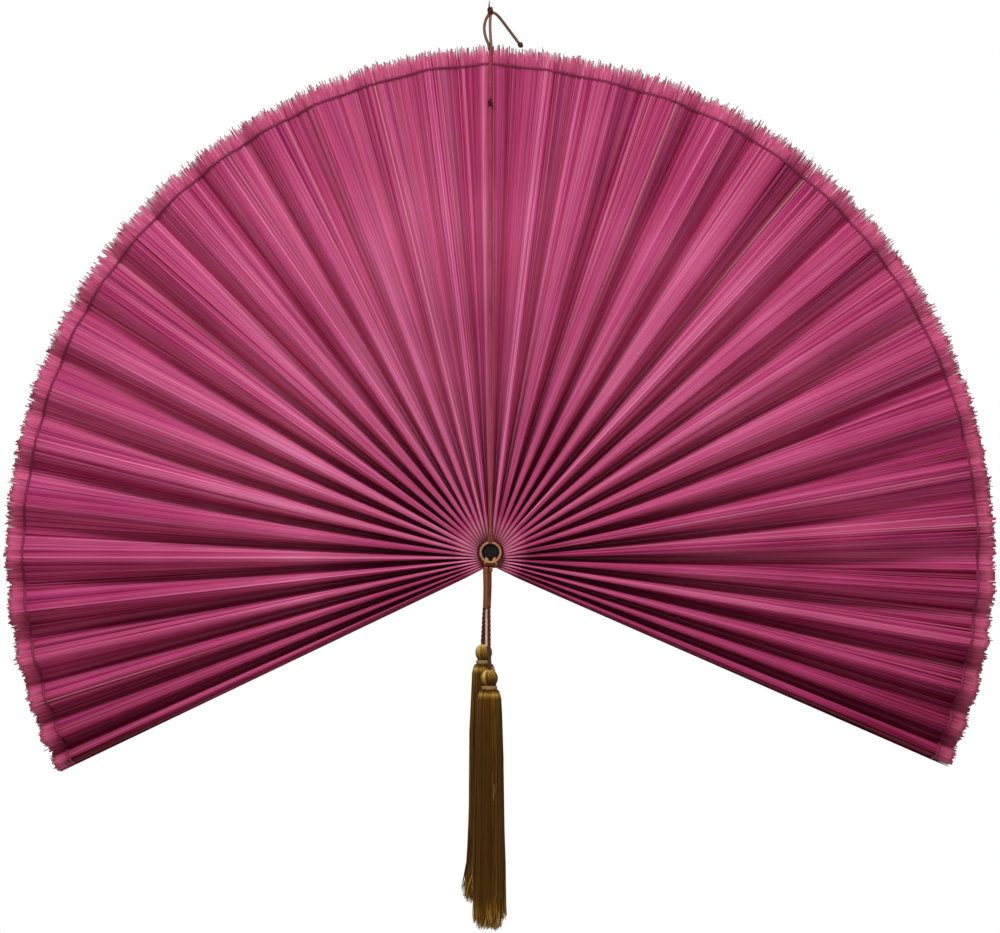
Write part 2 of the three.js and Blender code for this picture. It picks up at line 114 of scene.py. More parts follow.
class WallFanLeafSettings(bpy.types.PropertyGroup):
    flank_width: length_setting(
        "Pleat side", "Width of one side of a pleat", (leaf_high.y - leaf_low.y) / MM, 5,
    )
    splints_per_side: count_setting("Splints", "Bamboo splints in one side of a pleat", 24, 6, 40)
    splint_thickness: length_setting("Splint thickness", "Front to back of one splint", 0.62)
    fold_radius: length_setting("Fold radius", "Rounding of a ridge near the hub", 1.6)
    fold_softness: length_setting("Fold softness", "Rounding that a ridge gains towards the rim", 17.0)
    valley_share: share_setting("Valley rounding", "A valley's rounding as a share of a ridge's", 0.55, 0.1)
    edge_spread: length_setting("Edge spread", "How far the outermost sides stand out", 1.5)
    tip_raggedness: length_setting("Ragged tips", "How much the splints' lengths differ", 1.7)
    thread_inset: length_setting("Stitching inset", "From the tips to the row of stitching", 16.0)
    thread_diameter: length_setting("Stitching thread", "Thickness of the stitching thread", 1.75)
    closed_share: share_setting("Closed width", "A folded pleat's share of its open width", 0.06, 0.02)
    # makes the leaf's tone darker evenly towards the right
    darkening_to_right: share_setting("Uneven dye", "How much darker the leaf gets to the right", 0.02, 0.0, 0.3)
    # the darkest stop is reached mostly by the painted shadow on the leaf's outermost flanks
    darkest_dye_and_edge_shadow: colour_setting("Darkest dye", "Splints deep in the leaf's lower edges", (0.28, 0.02, 0.07))
    dark_dye: colour_setting("Dark dye", "Splints that took the most dye", (0.42, 0.05, 0.16))
    deep_dye: colour_setting("Deep dye", "Purple-red splints", (0.66, 0.20, 0.39))
    rose_dye: colour_setting("Rose dye", "The usual splint colour", (0.78, 0.34, 0.51))
    pink_dye: colour_setting("Pink dye", "Lighter splints", (0.90, 0.52, 0.68))
    salmon_dye: colour_setting("Salmon dye", "Splints where the bamboo shows through", (0.86, 0.50, 0.56))
    bare_bamboo: colour_setting("Bare bamboo", "The palest splints", (0.88, 0.66, 0.65))
    tip_dye: colour_setting("Tip dye", "The splints' ends past the stitching", (0.87, 0.42, 0.55))
    thread_colour: colour_setting("Stitching", "Stitching thread", (0.50, 0.135, 0.265))
    plum_dye: colour_setting("Plum dye", "Blue cast that some splints took", (0.62, 0.28, 0.53))


class WallFanHubSettings(bpy.types.PropertyGroup):
    lacquer: colour_setting("Ring lacquer", "Outer band of the ring", (0.30, 0.0, 0.02))
    cane: colour_setting("Ring cane", "Pale band of the ring", (0.62, 0.46, 0.32))
    liner: colour_setting("Ring liner", "Inner edge of the ring", (0.30, 0.17, 0.09))
    # the core's dark colour is partly painted shade of the ring's deep hole
    felt: colour_setting("Core", "Black wadding inside the ring", (0.135, 0.105, 0.09))
    fuzz_fibres: count_setting("Core fibres", "Loose fibres on the front of the core", 260, 0, 1500)


class WallFanCordSettings(bpy.types.PropertyGroup):
    cord_diameter: length_setting("Cord", "Thickness of the hanging cord", 2.5)
    doubled_diameter: length_setting("Doubled cord", "Thickness of each half of the doubled cord", 4.0)
    strand_diameter: length_setting("Tassel strand", "Thickness of each tassel's strand", 3.2)
    pale_diameter: length_setting("Pale leg", "Thickness of the pale leg beside the front strand", 2.3)
    cord_lay: length_setting("Twist", "Length of one full twist of the hanging cord", 15.0)
    loop_satin: colour_setting("Loop cord", "Loop and tail above the rim", (0.40, 0.27, 0.20))
    satin: colour_setting("Satin cord", "Hanging cord", (0.61, 0.27, 0.29))
    knot_satin: colour_setting("Cord's own knot", "Knot part way up the cord", (0.34, 0.08, 0.10))
    dark_satin: colour_setting("Dark satin cord", "Knots and the tassels' strands", (0.29, 0.15, 0.08))
    brown_satin: colour_setting("Brown satin cord", "Doubled cord above the tassels", (0.47, 0.26, 0.13))
    gold_satin: colour_setting("Gold satin cord", "Hitch on the ring", (0.75, 0.56, 0.33))
    pale_satin: colour_setting("Pale satin cord", "Pale leg beside the front strand", (0.78, 0.64, 0.53))


class WallFanTasselSettings(bpy.types.PropertyGroup):
    skirt_strands: count_setting("Skirt strands", "Yarn strands in one tassel's skirt", 495, 40, 900)
    locks: count_setting("Locks", "Locks that a skirt's strands gather into", 33, 6, 80)
    head_strands: count_setting("Head strands", "Yarn strands over one tassel's head", 58, 12, 120)
    yarn_diameter: length_setting("Yarn", "Thickness of one strand of the skirt", 0.8)
    dark_yarn: colour_setting("Dark yarn", "Deep between the strands", (0.20, 0.11, 0.0))
    olive_yarn: colour_setting("Olive yarn", "Most of the skirt", (0.36, 0.23, 0.04))
    # painted light on the heads' tops and left sides and on the skirts' shoulders lifts the tone into gold and
    # pale yarn
    gold_yarn: colour_setting("Gold yarn", "Heads and the top of the skirts", (0.70, 0.53, 0.20))
    pale_yarn: colour_setting("Pale yarn", "Brightest yarn of the heads", (0.90, 0.80, 0.50))
    band_yarn: colour_setting("Band yarn", "Binding round the necks", (0.57, 0.44, 0.24))


class WallFanStageSettings(bpy.types.PropertyGroup):
    camera_distance: length_setting("Camera distance", "From the camera to the wall", 4250, 1000)
    view_width: length_setting("View width", "Width that the picture takes in at the fan", 850, 100)
    picture_centre: FloatVectorProperty(
        name="Picture centre", description="Point of the fan at the middle of the picture",
        default=(0.0081, 0.0, -0.3823), size=3, subtype="TRANSLATION", unit="LENGTH", precision=4,
    )
    key_power: light_setting("Main lamp", "Power of the large soft lamp above", 71.0, "POWER")
    fill_power: light_setting("Fill lamp", "Power of the weak lamp in front", 5.0, "POWER")
    sky_strength: light_setting("Surrounding light", "Strength of the light from all round", 0.17)
    floor_colour: colour_setting("Floor", "Floor under the fan", (0.93, 0.93, 0.92))


# Materials


def linear(gamma_colour):
    return (*Color(gamma_colour).from_srgb_to_scene_linear(), 1.0)


class NodeBench:
    """Adds nodes to one new material or world and joins them"""

    def __init__(self, name, kind="materials"):
        self.owner = getattr(bpy.data, kind).new(name)
        self.owner.use_nodes = True
        self.tree = self.owner.node_tree

    def join(self, value, socket):
        if isinstance(value, bpy.types.NodeSocket):
            self.tree.links.new(value, socket)
        else:
            socket.default_value = value

    def add(self, kind, inputs=(), **settings):
        node = self.tree.nodes.new(kind)
        for key, value in settings.items():
            setattr(node, key, value)
        for socket, value in dict(inputs).items():
            self.join(value, node.inputs[socket])
        return node

    def attribute(self, name):
        node = self.add("ShaderNodeAttribute", attribute_name=name, attribute_type="GEOMETRY")
        return node.outputs["Vector"]

    def place(self):
        return self.add("ShaderNodeTexCoord").outputs["Object"]

    def split(self, vector):
        return self.add("ShaderNodeSeparateXYZ", {"Vector": vector}).outputs

    def noise(self, vector, stretch, detail=2.0, roughness=0.5):
        stretched = self.add("ShaderNodeMapping", {"Vector": vector, "Scale": stretch}).outputs[0]
        return self.add("ShaderNodeTexNoise", {
            "Vector": stretched, "Scale": 1.0, "Detail": detail, "Roughness": roughness,
        }).outputs["Fac"]

    def math(self, operation, a, b=0.0, c=0.0):
        return self.add("ShaderNodeMath", {0: a, 1: b, 2: c}, operation=operation).outputs[0]

    def vary(self, base, pattern, amount):
        """The base, raised or lowered by a pattern that swings about a half"""
        return self.math("MULTIPLY_ADD", self.math("SUBTRACT", pattern, 0.5), amount, base)

    def plies(self, straight, lay, count):
        """Raised ribs that wind round a cord, once in each lay"""
        sides = self.split(straight)
        turn = self.math("ARCTAN2", sides["Y"], sides["X"])
        phase = self.math("MULTIPLY_ADD", sides["Z"], math.tau / lay, turn)
        return self.math("MULTIPLY_ADD", self.math("SINE", self.math("MULTIPLY", phase, count)), 0.5, 0.5)

    def ramp(self, factor, stops):
        node = self.add("ShaderNodeValToRGB", {"Fac": factor})
        elements = node.color_ramp.elements
        while len(elements) < len(stops):
            elements.new(0.5)
        for element, (place, colour) in zip(elements, stops):
            element.position = place
            element.color = linear(colour)
        return node.outputs["Color"]

    def shades(self, factor, colour, places, dark, light, lift=0.03):
        """A ramp from a darker shade of the colour to a lighter one"""
        low = [c * dark for c in colour]
        high = [min(1.0, c * light + lift) for c in colour]
        return self.ramp(factor, list(zip(places, (low, colour, high))))

    def mix(self, factor, a, b):
        return self.add("ShaderNodeMix", {0: factor, 6: a, 7: b}, data_type="RGBA").outputs[2]

    def spread(self, factor, low, high):
        return self.add("ShaderNodeMapRange", {"Value": factor, "To Min": low, "To Max": high}).outputs[0]

    def finish(self, colour, roughness, height, relief, specular, sheen=0.0):
        """Joins colour, roughness and relief to the shader"""
        bump = self.add("ShaderNodeBump", {"Height": height, "Distance": relief, "Strength": 0.6})
        shader = self.tree.nodes["Principled BSDF"]
        for socket, value in {
            "Base Color": colour, "Roughness": roughness, "Normal": bump.outputs["Normal"],
            "Specular IOR Level": specular, "Sheen Weight": sheen, "Sheen Roughness": 0.6,
        }.items():
            self.join(value, shader.inputs[socket])
        return self.owner


def dyed_bamboo(settings):
    """Split bamboo in uneven pink dye, with fine fibres along each splint"""
    bench = NodeBench("dyed_bamboo")
    dye, straight = bench.split(bench.attribute("dye")), bench.attribute("straight")
    fibre = bench.noise(straight, (3600, 3600, 28), 3.0, 0.6)
    streak = bench.noise(straight, (900, 900, 7))
    batch = bench.noise(bench.place(), (9, 9, 9), 2.0, 0.4)
    # the tone from lay_splints also carries painted light and shade
    tone = dye["X"]
    for pattern, amount in ((streak, 0.34), (fibre, 0.34), (batch, 0.32)):
        tone = bench.vary(tone, pattern, amount)
    colour = bench.ramp(tone, [
        (0.0, settings.darkest_dye_and_edge_shadow), (0.07, settings.dark_dye), (0.26, settings.deep_dye),
        (0.5, settings.rose_dye), (0.74, settings.pink_dye), (1.0, settings.salmon_dye),
    ])
    cast = bench.noise(straight, (760, 760, 3), 1.0)
    plum = bench.math("MULTIPLY", bench.math("MAXIMUM", bench.math("SUBTRACT", cast, 0.52), 0.0), 1.7)
    tipped = bench.math("MULTIPLY", dye["Z"], 0.55)
    for share, tint in (
        (plum, settings.plum_dye), (dye["Y"], settings.bare_bamboo), (tipped, settings.tip_dye),
    ):
        colour = bench.mix(share, colour, linear(tint))
    return bench.finish(colour, bench.spread(fibre, 0.5, 0.7), fibre, 0.00006, 0.03)


def twined_thread(name, colour, lay=0.0016):
    """Twisted thread or yarn, painted lighter on its raised plies and darker between them, as painted light and
    shade
    """
    bench = NodeBench(name)
    straight = bench.attribute("straight")
    ply = bench.plies(straight, lay, 2.0)
    fibre = bench.noise(straight, (2400, 2400, 260), 3.0, 0.6)
    height = bench.math("MULTIPLY_ADD", fibre, 0.5, ply)
    shade = bench.shades(bench.vary(ply, fibre, 0.9), colour, (0.0, 0.5, 1.0), 0.68, 1.22, 0.02)
    return bench.finish(shade, bench.spread(fibre, 0.42, 0.62), height, 0.00012, 0.3)


def satin_cord(name, colour, aged=None):
    """Glossy satin cord with fine slanting ribs, painted lighter on the ribs as painted light; dye gives its tone,
    which also carries painted light and shade on some cords, and how aged it is
    """
    bench = NodeBench(name)
    dye, straight = bench.split(bench.attribute("dye")), bench.attribute("straight")
    rib = bench.plies(straight, 0.0042, 7.0)
    fibre = bench.noise(straight, (3000, 3000, 420), 3.0, 0.6)
    wear = bench.noise(bench.place(), (38, 38, 38), 3.0, 0.6)
    tint = bench.math("MULTIPLY_ADD", rib, 0.3, bench.math("MULTIPLY", fibre, 0.6))
    tint = bench.vary(bench.vary(tint, wear, 0.9), dye["X"], 1.0)
    shades = [bench.shades(tint, satin, (0.05, 0.42, 0.85), 0.6, 1.25) for satin in (colour, aged or colour)]
    return bench.finish(bench.mix(dye["Y"], *shades), bench.spread(fibre, 0.42, 0.58), rib, 0.0001, 0.12)


def tassel_yarn(settings):
    """Silky yarn, painted lighter on its plies; gold near the neck, partly through painted light, and olive
    further down
    """
    bench = NodeBench("tassel_yarn")
    dye, straight = bench.split(bench.attribute("dye")), bench.attribute("straight")
    ply = bench.plies(straight, 0.0034, 2.0)
    fibre = bench.noise(straight, (2600, 2600, 90), 3.0, 0.6)
    tone = bench.vary(bench.vary(dye["X"], fibre, 0.5), ply, 0.16)
    colour = bench.ramp(tone, [
        (0.0, settings.dark_yarn), (0.4, settings.olive_yarn), (0.8, settings.gold_yarn),
        (1.0, settings.pale_yarn),
    ])
    return bench.finish(colour, bench.spread(fibre, 0.4, 0.6), ply, 0.00008, 0.1)


def old_lacquer(name, colour, roughness):
    """Worn lacquer with faint brush marks and cloudy wear"""
    bench = NodeBench(name)
    place = bench.place()
    mark = bench.noise(place, (900, 260, 900), 3.0, 0.6)
    wear = bench.noise(place, (220, 220, 220), 4.0, 0.65)
    shade = bench.shades(bench.vary(wear, mark, 0.4), colour, (0.3, 0.5, 0.72), 0.6, 1.3)
    return bench.finish(shade, bench.spread(wear, roughness, roughness + 0.2), mark, 0.00008, 0.15)


def split_cane(name, colour):
    """Varnished cane with grain that runs round the ring"""
    bench = NodeBench(name)
    grain = bench.noise(bench.attribute("straight"), (2600, 2600, 160), 4.0, 0.65)
    stain = bench.noise(bench.place(), (260, 260, 260), 3.0, 0.6)
    tint = bench.math("MULTIPLY_ADD", stain, 0.5, bench.math("MULTIPLY", grain, 0.5))
    shade = bench.shades(tint, colour, (0.3, 0.5, 0.68), 0.55, 1.3)
    return bench.finish(shade, bench.spread(grain, 0.35, 0.55), grain, 0.0001, 0.5)


def black_wadding(settings):
    """Soft black wadding with a grey bloom of fibre ends; its black is partly the wadding's own colour and partly
    painted shade of the deep hole in the ring
    """
    bench = NodeBench("black_wadding")
    place = bench.place()
    tuft = bench.noise(place, (700, 700, 700), 4.0, 0.7)
    cloud = bench.noise(place, (240, 240, 240))
    tint = bench.math("MULTIPLY_ADD", cloud, 0.5, bench.math("MULTIPLY", tuft, 0.5))
    shade = bench.shades(tint, settings.felt, (0.34, 0.52, 0.7), 0.45, 1.7, 0.0)
    return bench.finish(shade, bench.spread(tuft, 0.8, 0.98), tuft, 0.0004, 0.12, sheen=0.12)


# Shapes


PLAIN_DYE = (0.5, 0.0, 0.0)
BAR_SHIFT = 0.37
straight_bars = {}


def straight_bar(sides, steps):
    """A closed bar along Z, one unit in radius and one unit to each step"""
    if (sides, steps) not in straight_bars:
        bm = bmesh.new()
        ring = bmesh.ops.create_circle(bm, segments=sides, radius=1.0)["verts"]
        turn = math.pi / sides
        for vert in ring:
            x, y = vert.co.x, vert.co.y
            vert.co.x = x * math.cos(turn) - y * math.sin(turn)
            vert.co.y = x * math.sin(turn) + y * math.cos(turn)
        rim = list(bm.edges)
        for _ in range(steps):
            grown = bmesh.ops.extrude_edge_only(bm, edges=rim)["geom"]
            moved = {g for g in grown if isinstance(g, bmesh.types.BMVert)}
            bmesh.ops.translate(bm, verts=list(moved), vec=(0, 0, 1))
            rim = [g for g in grown if isinstance(g, bmesh.types.BMEdge)
                   and g.verts[0] in moved and g.verts[1] in moved]
        for face in bm.faces:
            face.smooth = True
        bmesh.ops.holes_fill(bm, edges=[e for e in bm.edges if e.is_boundary], sides=0)
        bmesh.ops.recalc_face_normals(bm, faces=bm.faces)
        mesh = bpy.data.meshes.new(f"bar_{sides}_{steps}")
        bm.to_mesh(mesh)
        bm.free()
        straight_bars[sides, steps] = mesh
    return straight_bars[sides, steps]


def new_shape():
    bm = bmesh.new()
    for name in ("straight", "dye"):
        bm.verts.layers.float_vector.new(name)
    return bm


def distances(route):
    """How far along the route each of its points is"""
    run = [0.0]
    for a, b in zip(route, route[1:]):
        run.append(run[-1] + (b - a).length)
    return run


def lay_bar(bm, stations, sides=6, dye=PLAIN_DYE, finish=0, painted_side_shade=0.0):
    """Bends a straight bar along stations: centre, half width and half thickness as vectors.

    dye is one triple for the bar, or one for each station; painted_side_shade darkens its tone along the sides, as
    painted shade.
    """
    first_vert, first_face = len(bm.verts), len(bm.faces)
    bm.from_mesh(straight_bar(sides, len(stations) - 1))
    bm.verts.ensure_lookup_table()
    bm.faces.ensure_lookup_table()
    straight = bm.verts.layers.float_vector["straight"]
    tint = bm.verts.layers.float_vector["dye"]
    run = distances([centre for centre, _, _ in stations])
    sizes = [(across.length, out.length) for _, across, out in stations]
    shift = BAR_SHIFT * first_vert * MM
    by_station = isinstance(dye, list)
    for vert in bm.verts[first_vert:]:
        side, front, step = vert.co.x, vert.co.y, round(vert.co.z)
        centre, across, out = stations[step]
        vert.co = centre + across * side + out * front
        wide, thick = sizes[step]
        vert[straight] = (side * wide, front * thick, run[step] + shift)
        tone, pale, tip = dye[step] if by_station else dye
        # painted shade: the tone drops towards the bar's sides
        vert[tint] = (tone - painted_side_shade * side ** 2, pale, tip)
    if finish:
        for face in bm.faces[first_face:]:
            face.material_index = finish


def smooth_route(points, count):
    """Even points along a smooth curve through the given ones"""
    points = [Vector(p) for p in points]
    ends = [2 * points[0] - points[1], *points, 2 * points[-1] - points[-2]]
    fine = []
    for i in range(1, len(ends) - 2):
        a, b, c, d = ends[i - 1:i + 3]
        for k in range(16):
            t = k / 16
            fine.append(0.5 * (
                2 * b + (c - a) * t + (2 * a - 5 * b + 4 * c - d) * t ** 2
                + (3 * b - a - 3 * c + d) * t ** 3
            ))
    fine.append(points[-1])
    run = distances(fine)
    route, at = [], 0
    for k in range(count + 1):
        goal = run[-1] * k / count
        while at < len(run) - 2 and run[at + 1] < goal:
            at += 1
        share = (goal - run[at]) / max(run[at + 1] - run[at], 1e-9)
        route.append(fine[at].lerp(fine[at + 1], min(1.0, share)))
    return route


def carried_frames(route, first=(0, 1, 0)):
    """Two directions across the route at each point, carried along it without twist"""
    frames, across = [], Vector(first)
    for i in range(len(route)):
        along = (route[min(i + 1, len(route) - 1)] - route[max(i - 1, 0)]).normalized()
        across = (across - along * across.dot(along)).normalized()
        frames.append((across.copy(), along.cross(across)))
    return frames


def round_stations(route, radius, first=(0, 1, 0)):
    """Stations of a round bar; radius is one number or one for each point"""
    radii = radius if isinstance(radius, list) else [radius] * len(route)
    return [(p, a * r, b * r) for p, (a, b), r in zip(route, carried_frames(route, first), radii)]


def lay_twisted(bm, route, diameter, plies, lay, dye=PLAIN_DYE):
    """Plies wound round each other along the route"""
    share = 1.25 / (1 + 1 / math.sin(math.pi / plies))
    reach = 0.56 * diameter
    ply_radius, offset = reach * share, reach * (1 - share)
    frames, run = carried_frames(route), distances(route)
    for ply in range(plies):
        wound = []
        for point, (a, b), s in zip(route, frames, run):
            phase = math.tau * (ply / plies + s / lay)
            wound.append(point + (a * math.cos(phase) + b * math.sin(phase)) * offset)
        lay_bar(bm, round_stations(wound, ply_radius), 8, dye)


def make_piece(name, bm, materials, body, replaced=()):
    """Turns the shape into a piece that rides on its body"""
    mesh = bpy.data.meshes.new(name)
    bm.to_mesh(mesh)
    bm.free()
    for material in materials:
        mesh.materials.append(material)
    piece = bpy.data.objects.new(name, mesh)
    bpy.context.scene.collection.objects.link(piece)
    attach(piece, body)
    if replaced:
        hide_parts(*replaced)
    return piece


def lay_knot(bm, centre, half_width, half_height, thick, turn=0.6, tone=0.5):
    """An overhand knot drawn up tight: three passes through its middle, two turns round it"""
    reach = thick * 0.5
    tube = 0.52 * (half_width - reach)
    route = []
    for i in range(64):
        t = math.tau * i / 63.4
        out = half_width - reach - tube + tube * math.cos(3 * t)
        route.append(centre + Vector((
            out * math.cos(2 * t + turn), out * math.sin(2 * t + turn),
            (half_height - reach) * math.sin(3 * t),
        )))
    lay_bar(bm, round_stations(route, reach), 8, (tone, 0.0, 0.0))


def flattened(value, power):
    return math.copysign(abs(value) ** power, value)


def lay_ring(bm, section_radius, section_y, half_radial, half_depth):
    """A ring round the hub's axis, of a rounded section"""
    section = bmesh.ops.create_circle(bm, segments=20, radius=1.0)["verts"]
    for vert in section:
        vert.co = hub_centre + Vector((
            section_radius + half_radial * flattened(vert.co.x, 0.8),
            section_y + half_depth * flattened(vert.co.y, 0.8), 0.0,
        ))
    bmesh.ops.spin(
        bm, geom=section + list(bm.edges), cent=hub_centre, axis=(0, 1, 0), angle=math.tau,
        steps=96, use_merge=True, use_duplicate=False,
    )
    straight = bm.verts.layers.float_vector["straight"]
    tint = bm.verts.layers.float_vector["dye"]
    for vert in bm.verts:
        rel = vert.co - hub_centre
        radius, turn = math.hypot(rel.x, rel.z), math.atan2(rel.x, rel.z)
        vert[straight] = (radius - section_radius, rel.y - section_y, section_radius * turn)
        vert[tint] = PLAIN_DYE
    for face in bm.faces:
        face.smooth = True


def round_hub(radius, turn, y=0.0):
    """The point at a radius from the hub, turned from straight up"""
    return hub_centre + Vector((radius * math.sin(turn), y, radius * math.cos(turn)))


# Leaf


RIM_SHIFTS = (
    (-180, 1.0), (-115, 1.0), (-75, 0.8), (-65, 3.0), (-55, 4.2), (-45, 2.4), (-25, -0.6), (-13, -1.2),
    (-5, 1.2), (1, 1.8), (6, -1.0), (15, -1.8), (25, 1.4), (35, 2.4), (65, 1.8), (80, 0.4), (95, 1.8),
    (105, 2.4), (180, 2.4),
)
RIDGE_ROOM = 0.62
EDGE_ROOM = 0.22
VALLEY_ROOM = 0.3
SPLINT_STOPS = (0.0, 0.05, 0.15, 0.36, 0.68, 0.962, 0.988, 1.0)
INNER_END = 11.25 * MM
STRAY_SHARE = 0.16
GATHER_RADIUS = 13.4 * MM
GATHER_ROOM = 1.7 * MM
PACKED_REACH = 9 * MM
SECTION_STEP = 0.25 * MM
WEAVE = 0.09
LAP = 0.53
FURTHEST_TIP = 3.2
BLEACHED_CHANCE = 0.014
LEAF_SEED = 900


def smooth_noise(x, y):
    return noise.noise(Vector((x, y, 0.5)))


def rim_shift(turn):
    """How much the splints reach past the even rim at an angle"""
    degrees = math.degrees(turn)
    for (a, first), (b, last) in zip(RIM_SHIFTS, RIM_SHIFTS[1:]):
        if a <= degrees <= b:
            return (first + (last - first) * (degrees - a) / (b - a)) * MM


class RadialLine:
    """A straight line from the hub to the rim, by its angle from straight up at a radius"""

    def __init__(self, inner, outer):
        (near, first), (self.rim, last) = inner, outer
        turn = first - last
        length = math.sqrt(near ** 2 + self.rim ** 2 - 2 * near * self.rim * math.cos(turn))
        self.beside = near * self.rim * math.sin(turn) / length
        self.heading = last - math.asin(self.beside / self.rim)

    def angle(self, radius):
        return self.heading + math.asin(self.beside / radius)


class Pleat:
    """Ridge and edges of one pleat, read from its frame node"""

    def __init__(self, name):
        self.name = name
        self.body = name if name != centre_pleat else "root"
        places = []
        for vert in frame["nodes"][name].data.vertices:
            rel = vert.co - hub_centre
            places.append((rel.y, math.hypot(rel.x, rel.z), math.atan2(rel.x, rel.z)))
        rim = max(radius for _, radius, _ in places)
        hole = min(radius for _, radius, _ in places)
        outer = [p for p in places if p[1] > 0.98 * rim]
        inner = [p for p in places if p[1] < hole + 0.4 * MM]
        self.ridge = RadialLine(min(inner)[1:], min(outer)[1:])
        by_turn = {"key": lambda place: place[2]}
        self.left = RadialLine(min(inner, **by_turn)[1:], min(outer, **by_turn)[1:])
        self.right = RadialLine(max(inner, **by_turn)[1:], max(outer, **by_turn)[1:])
        self.turn = self.ridge.angle(rim)


class Flank:
    """One side of a pleat, from its ridge to the valley beside it"""

    def __init__(self, pleat, beyond, other, settings):
        self.settings = settings
        self.pleat, self.beyond, self.other = pleat, beyond, other
        self.sections = {}

    def valley_angle(self, neighbour, radius):
        """The valley lies midway to the next ridge, or at the leaf's edge"""
        own = self.pleat.ridge.angle(radius)
        if isinstance(neighbour, Pleat):
            return (own + neighbour.ridge.angle(radius)) / 2
        edge = neighbour.angle(radius)
        return edge + math.copysign(self.settings.edge_spread / radius, edge)

    def depth(self, radius, half):
        width = self.settings.flank_width
        return math.sqrt(max(width ** 2 - (radius * math.sin(half)) ** 2, (width / 6) ** 2))

    def tip_radius(self, share):
        rim = self.pleat.ridge.rim + rim_shift(self.pleat.turn)
        if not isinstance(self.beyond, Pleat):
            return rim
        return rim + (self.beyond.ridge.rim + rim_shift(self.beyond.turn) - rim) * share / 2

    def section(self, radius):
        """Ridge and valley at a radius, with their bends and the slope between them"""
        key = round(radius / SECTION_STEP)
        if key not in self.sections:
            radius = max(key * SECTION_STEP, 1.1 * abs(self.pleat.ridge.beside))
            ridge = self.pleat.ridge.angle(radius)
            valley = self.valley_angle(self.beyond, radius)
            half = abs(valley - ridge)
            both = (half + abs(self.valley_angle(self.other, radius) - ridge)) / 2
            if not isinstance(self.beyond, Pleat) or not isinstance(self.other, Pleat):
                both = max(half, 2 * both - half)
            mat = self.settings.splint_thickness / 2
            ridge_y = -self.depth(radius, both) / 2 + mat
            valley_y = self.depth(radius, half) / 2 - mat
            across = radius * half
            width = self.settings.flank_width
            soft = self.settings.fold_radius + self.settings.fold_softness * (
                radius / self.pleat.ridge.rim) ** 2.5
            room = RIDGE_ROOM + 0.2 * math.exp(-((radius - INNER_END) / (1.5 * PACKED_REACH)) ** 2)
            room -= 0.34 * min(1.0, max(0.0, abs(self.pleat.turn) - 1.15) / 0.5)
            if not isinstance(self.beyond, Pleat):
                room = EDGE_ROOM
            ridge_bend = min(soft, room * across)
            valley_bend = min(
                self.settings.valley_share * soft, VALLEY_ROOM * across, 0.92 * across - ridge_bend,
            )
            both = ridge_bend + valley_bend
            low, high = 0.0, math.pi / 2
            for _ in range(22):
                steep = (low + high) / 2
                if both * math.sin(steep) + (width - both * steep) * math.cos(steep) > across:
                    low = steep
                else:
                    high = steep
            self.sections[key] = ridge, valley, ridge_y, valley_y, ridge_bend, valley_bend, steep
        return self.sections[key]

    def place(self, share, radius, swing=0.0, lift=0.0):
        """Point of the mat's middle, share 0 at the ridge and 1 at the valley"""
        ridge, valley, ridge_y, valley_y, ridge_bend, valley_bend, steep = self.section(radius)
        width = self.settings.flank_width
        sine, cosine = math.sin(steep), math.cos(steep)
        straight = width - (ridge_bend + valley_bend) * steep
        across = (ridge_bend + valley_bend) * sine + straight * cosine
        deep = (ridge_bend + valley_bend) * (1 - cosine) + straight * sine
        run = width - abs(width - abs(share) * width)
        if run < ridge_bend * steep:
            turn = run / ridge_bend
            side, out = ridge_bend * math.sin(turn), ridge_bend * (1 - math.cos(turn))
        elif run < width - valley_bend * steep:
            run -= ridge_bend * steep
            side, out = ridge_bend * sine + run * cosine, ridge_bend * (1 - cosine) + run * sine
        else:
            turn = (width - run) / valley_bend
            side, out = across - valley_bend * math.sin(turn), deep - valley_bend * (1 - math.cos(turn))
        side, out = side / across, out / deep
        if share > 1:
            side = 2 - side
        if share < 0:
            side = -side
        angle = ridge + (valley - ridge) * side + swing
        return round_hub(radius, angle, ridge_y + (valley_y - ridge_y) * out + lift)


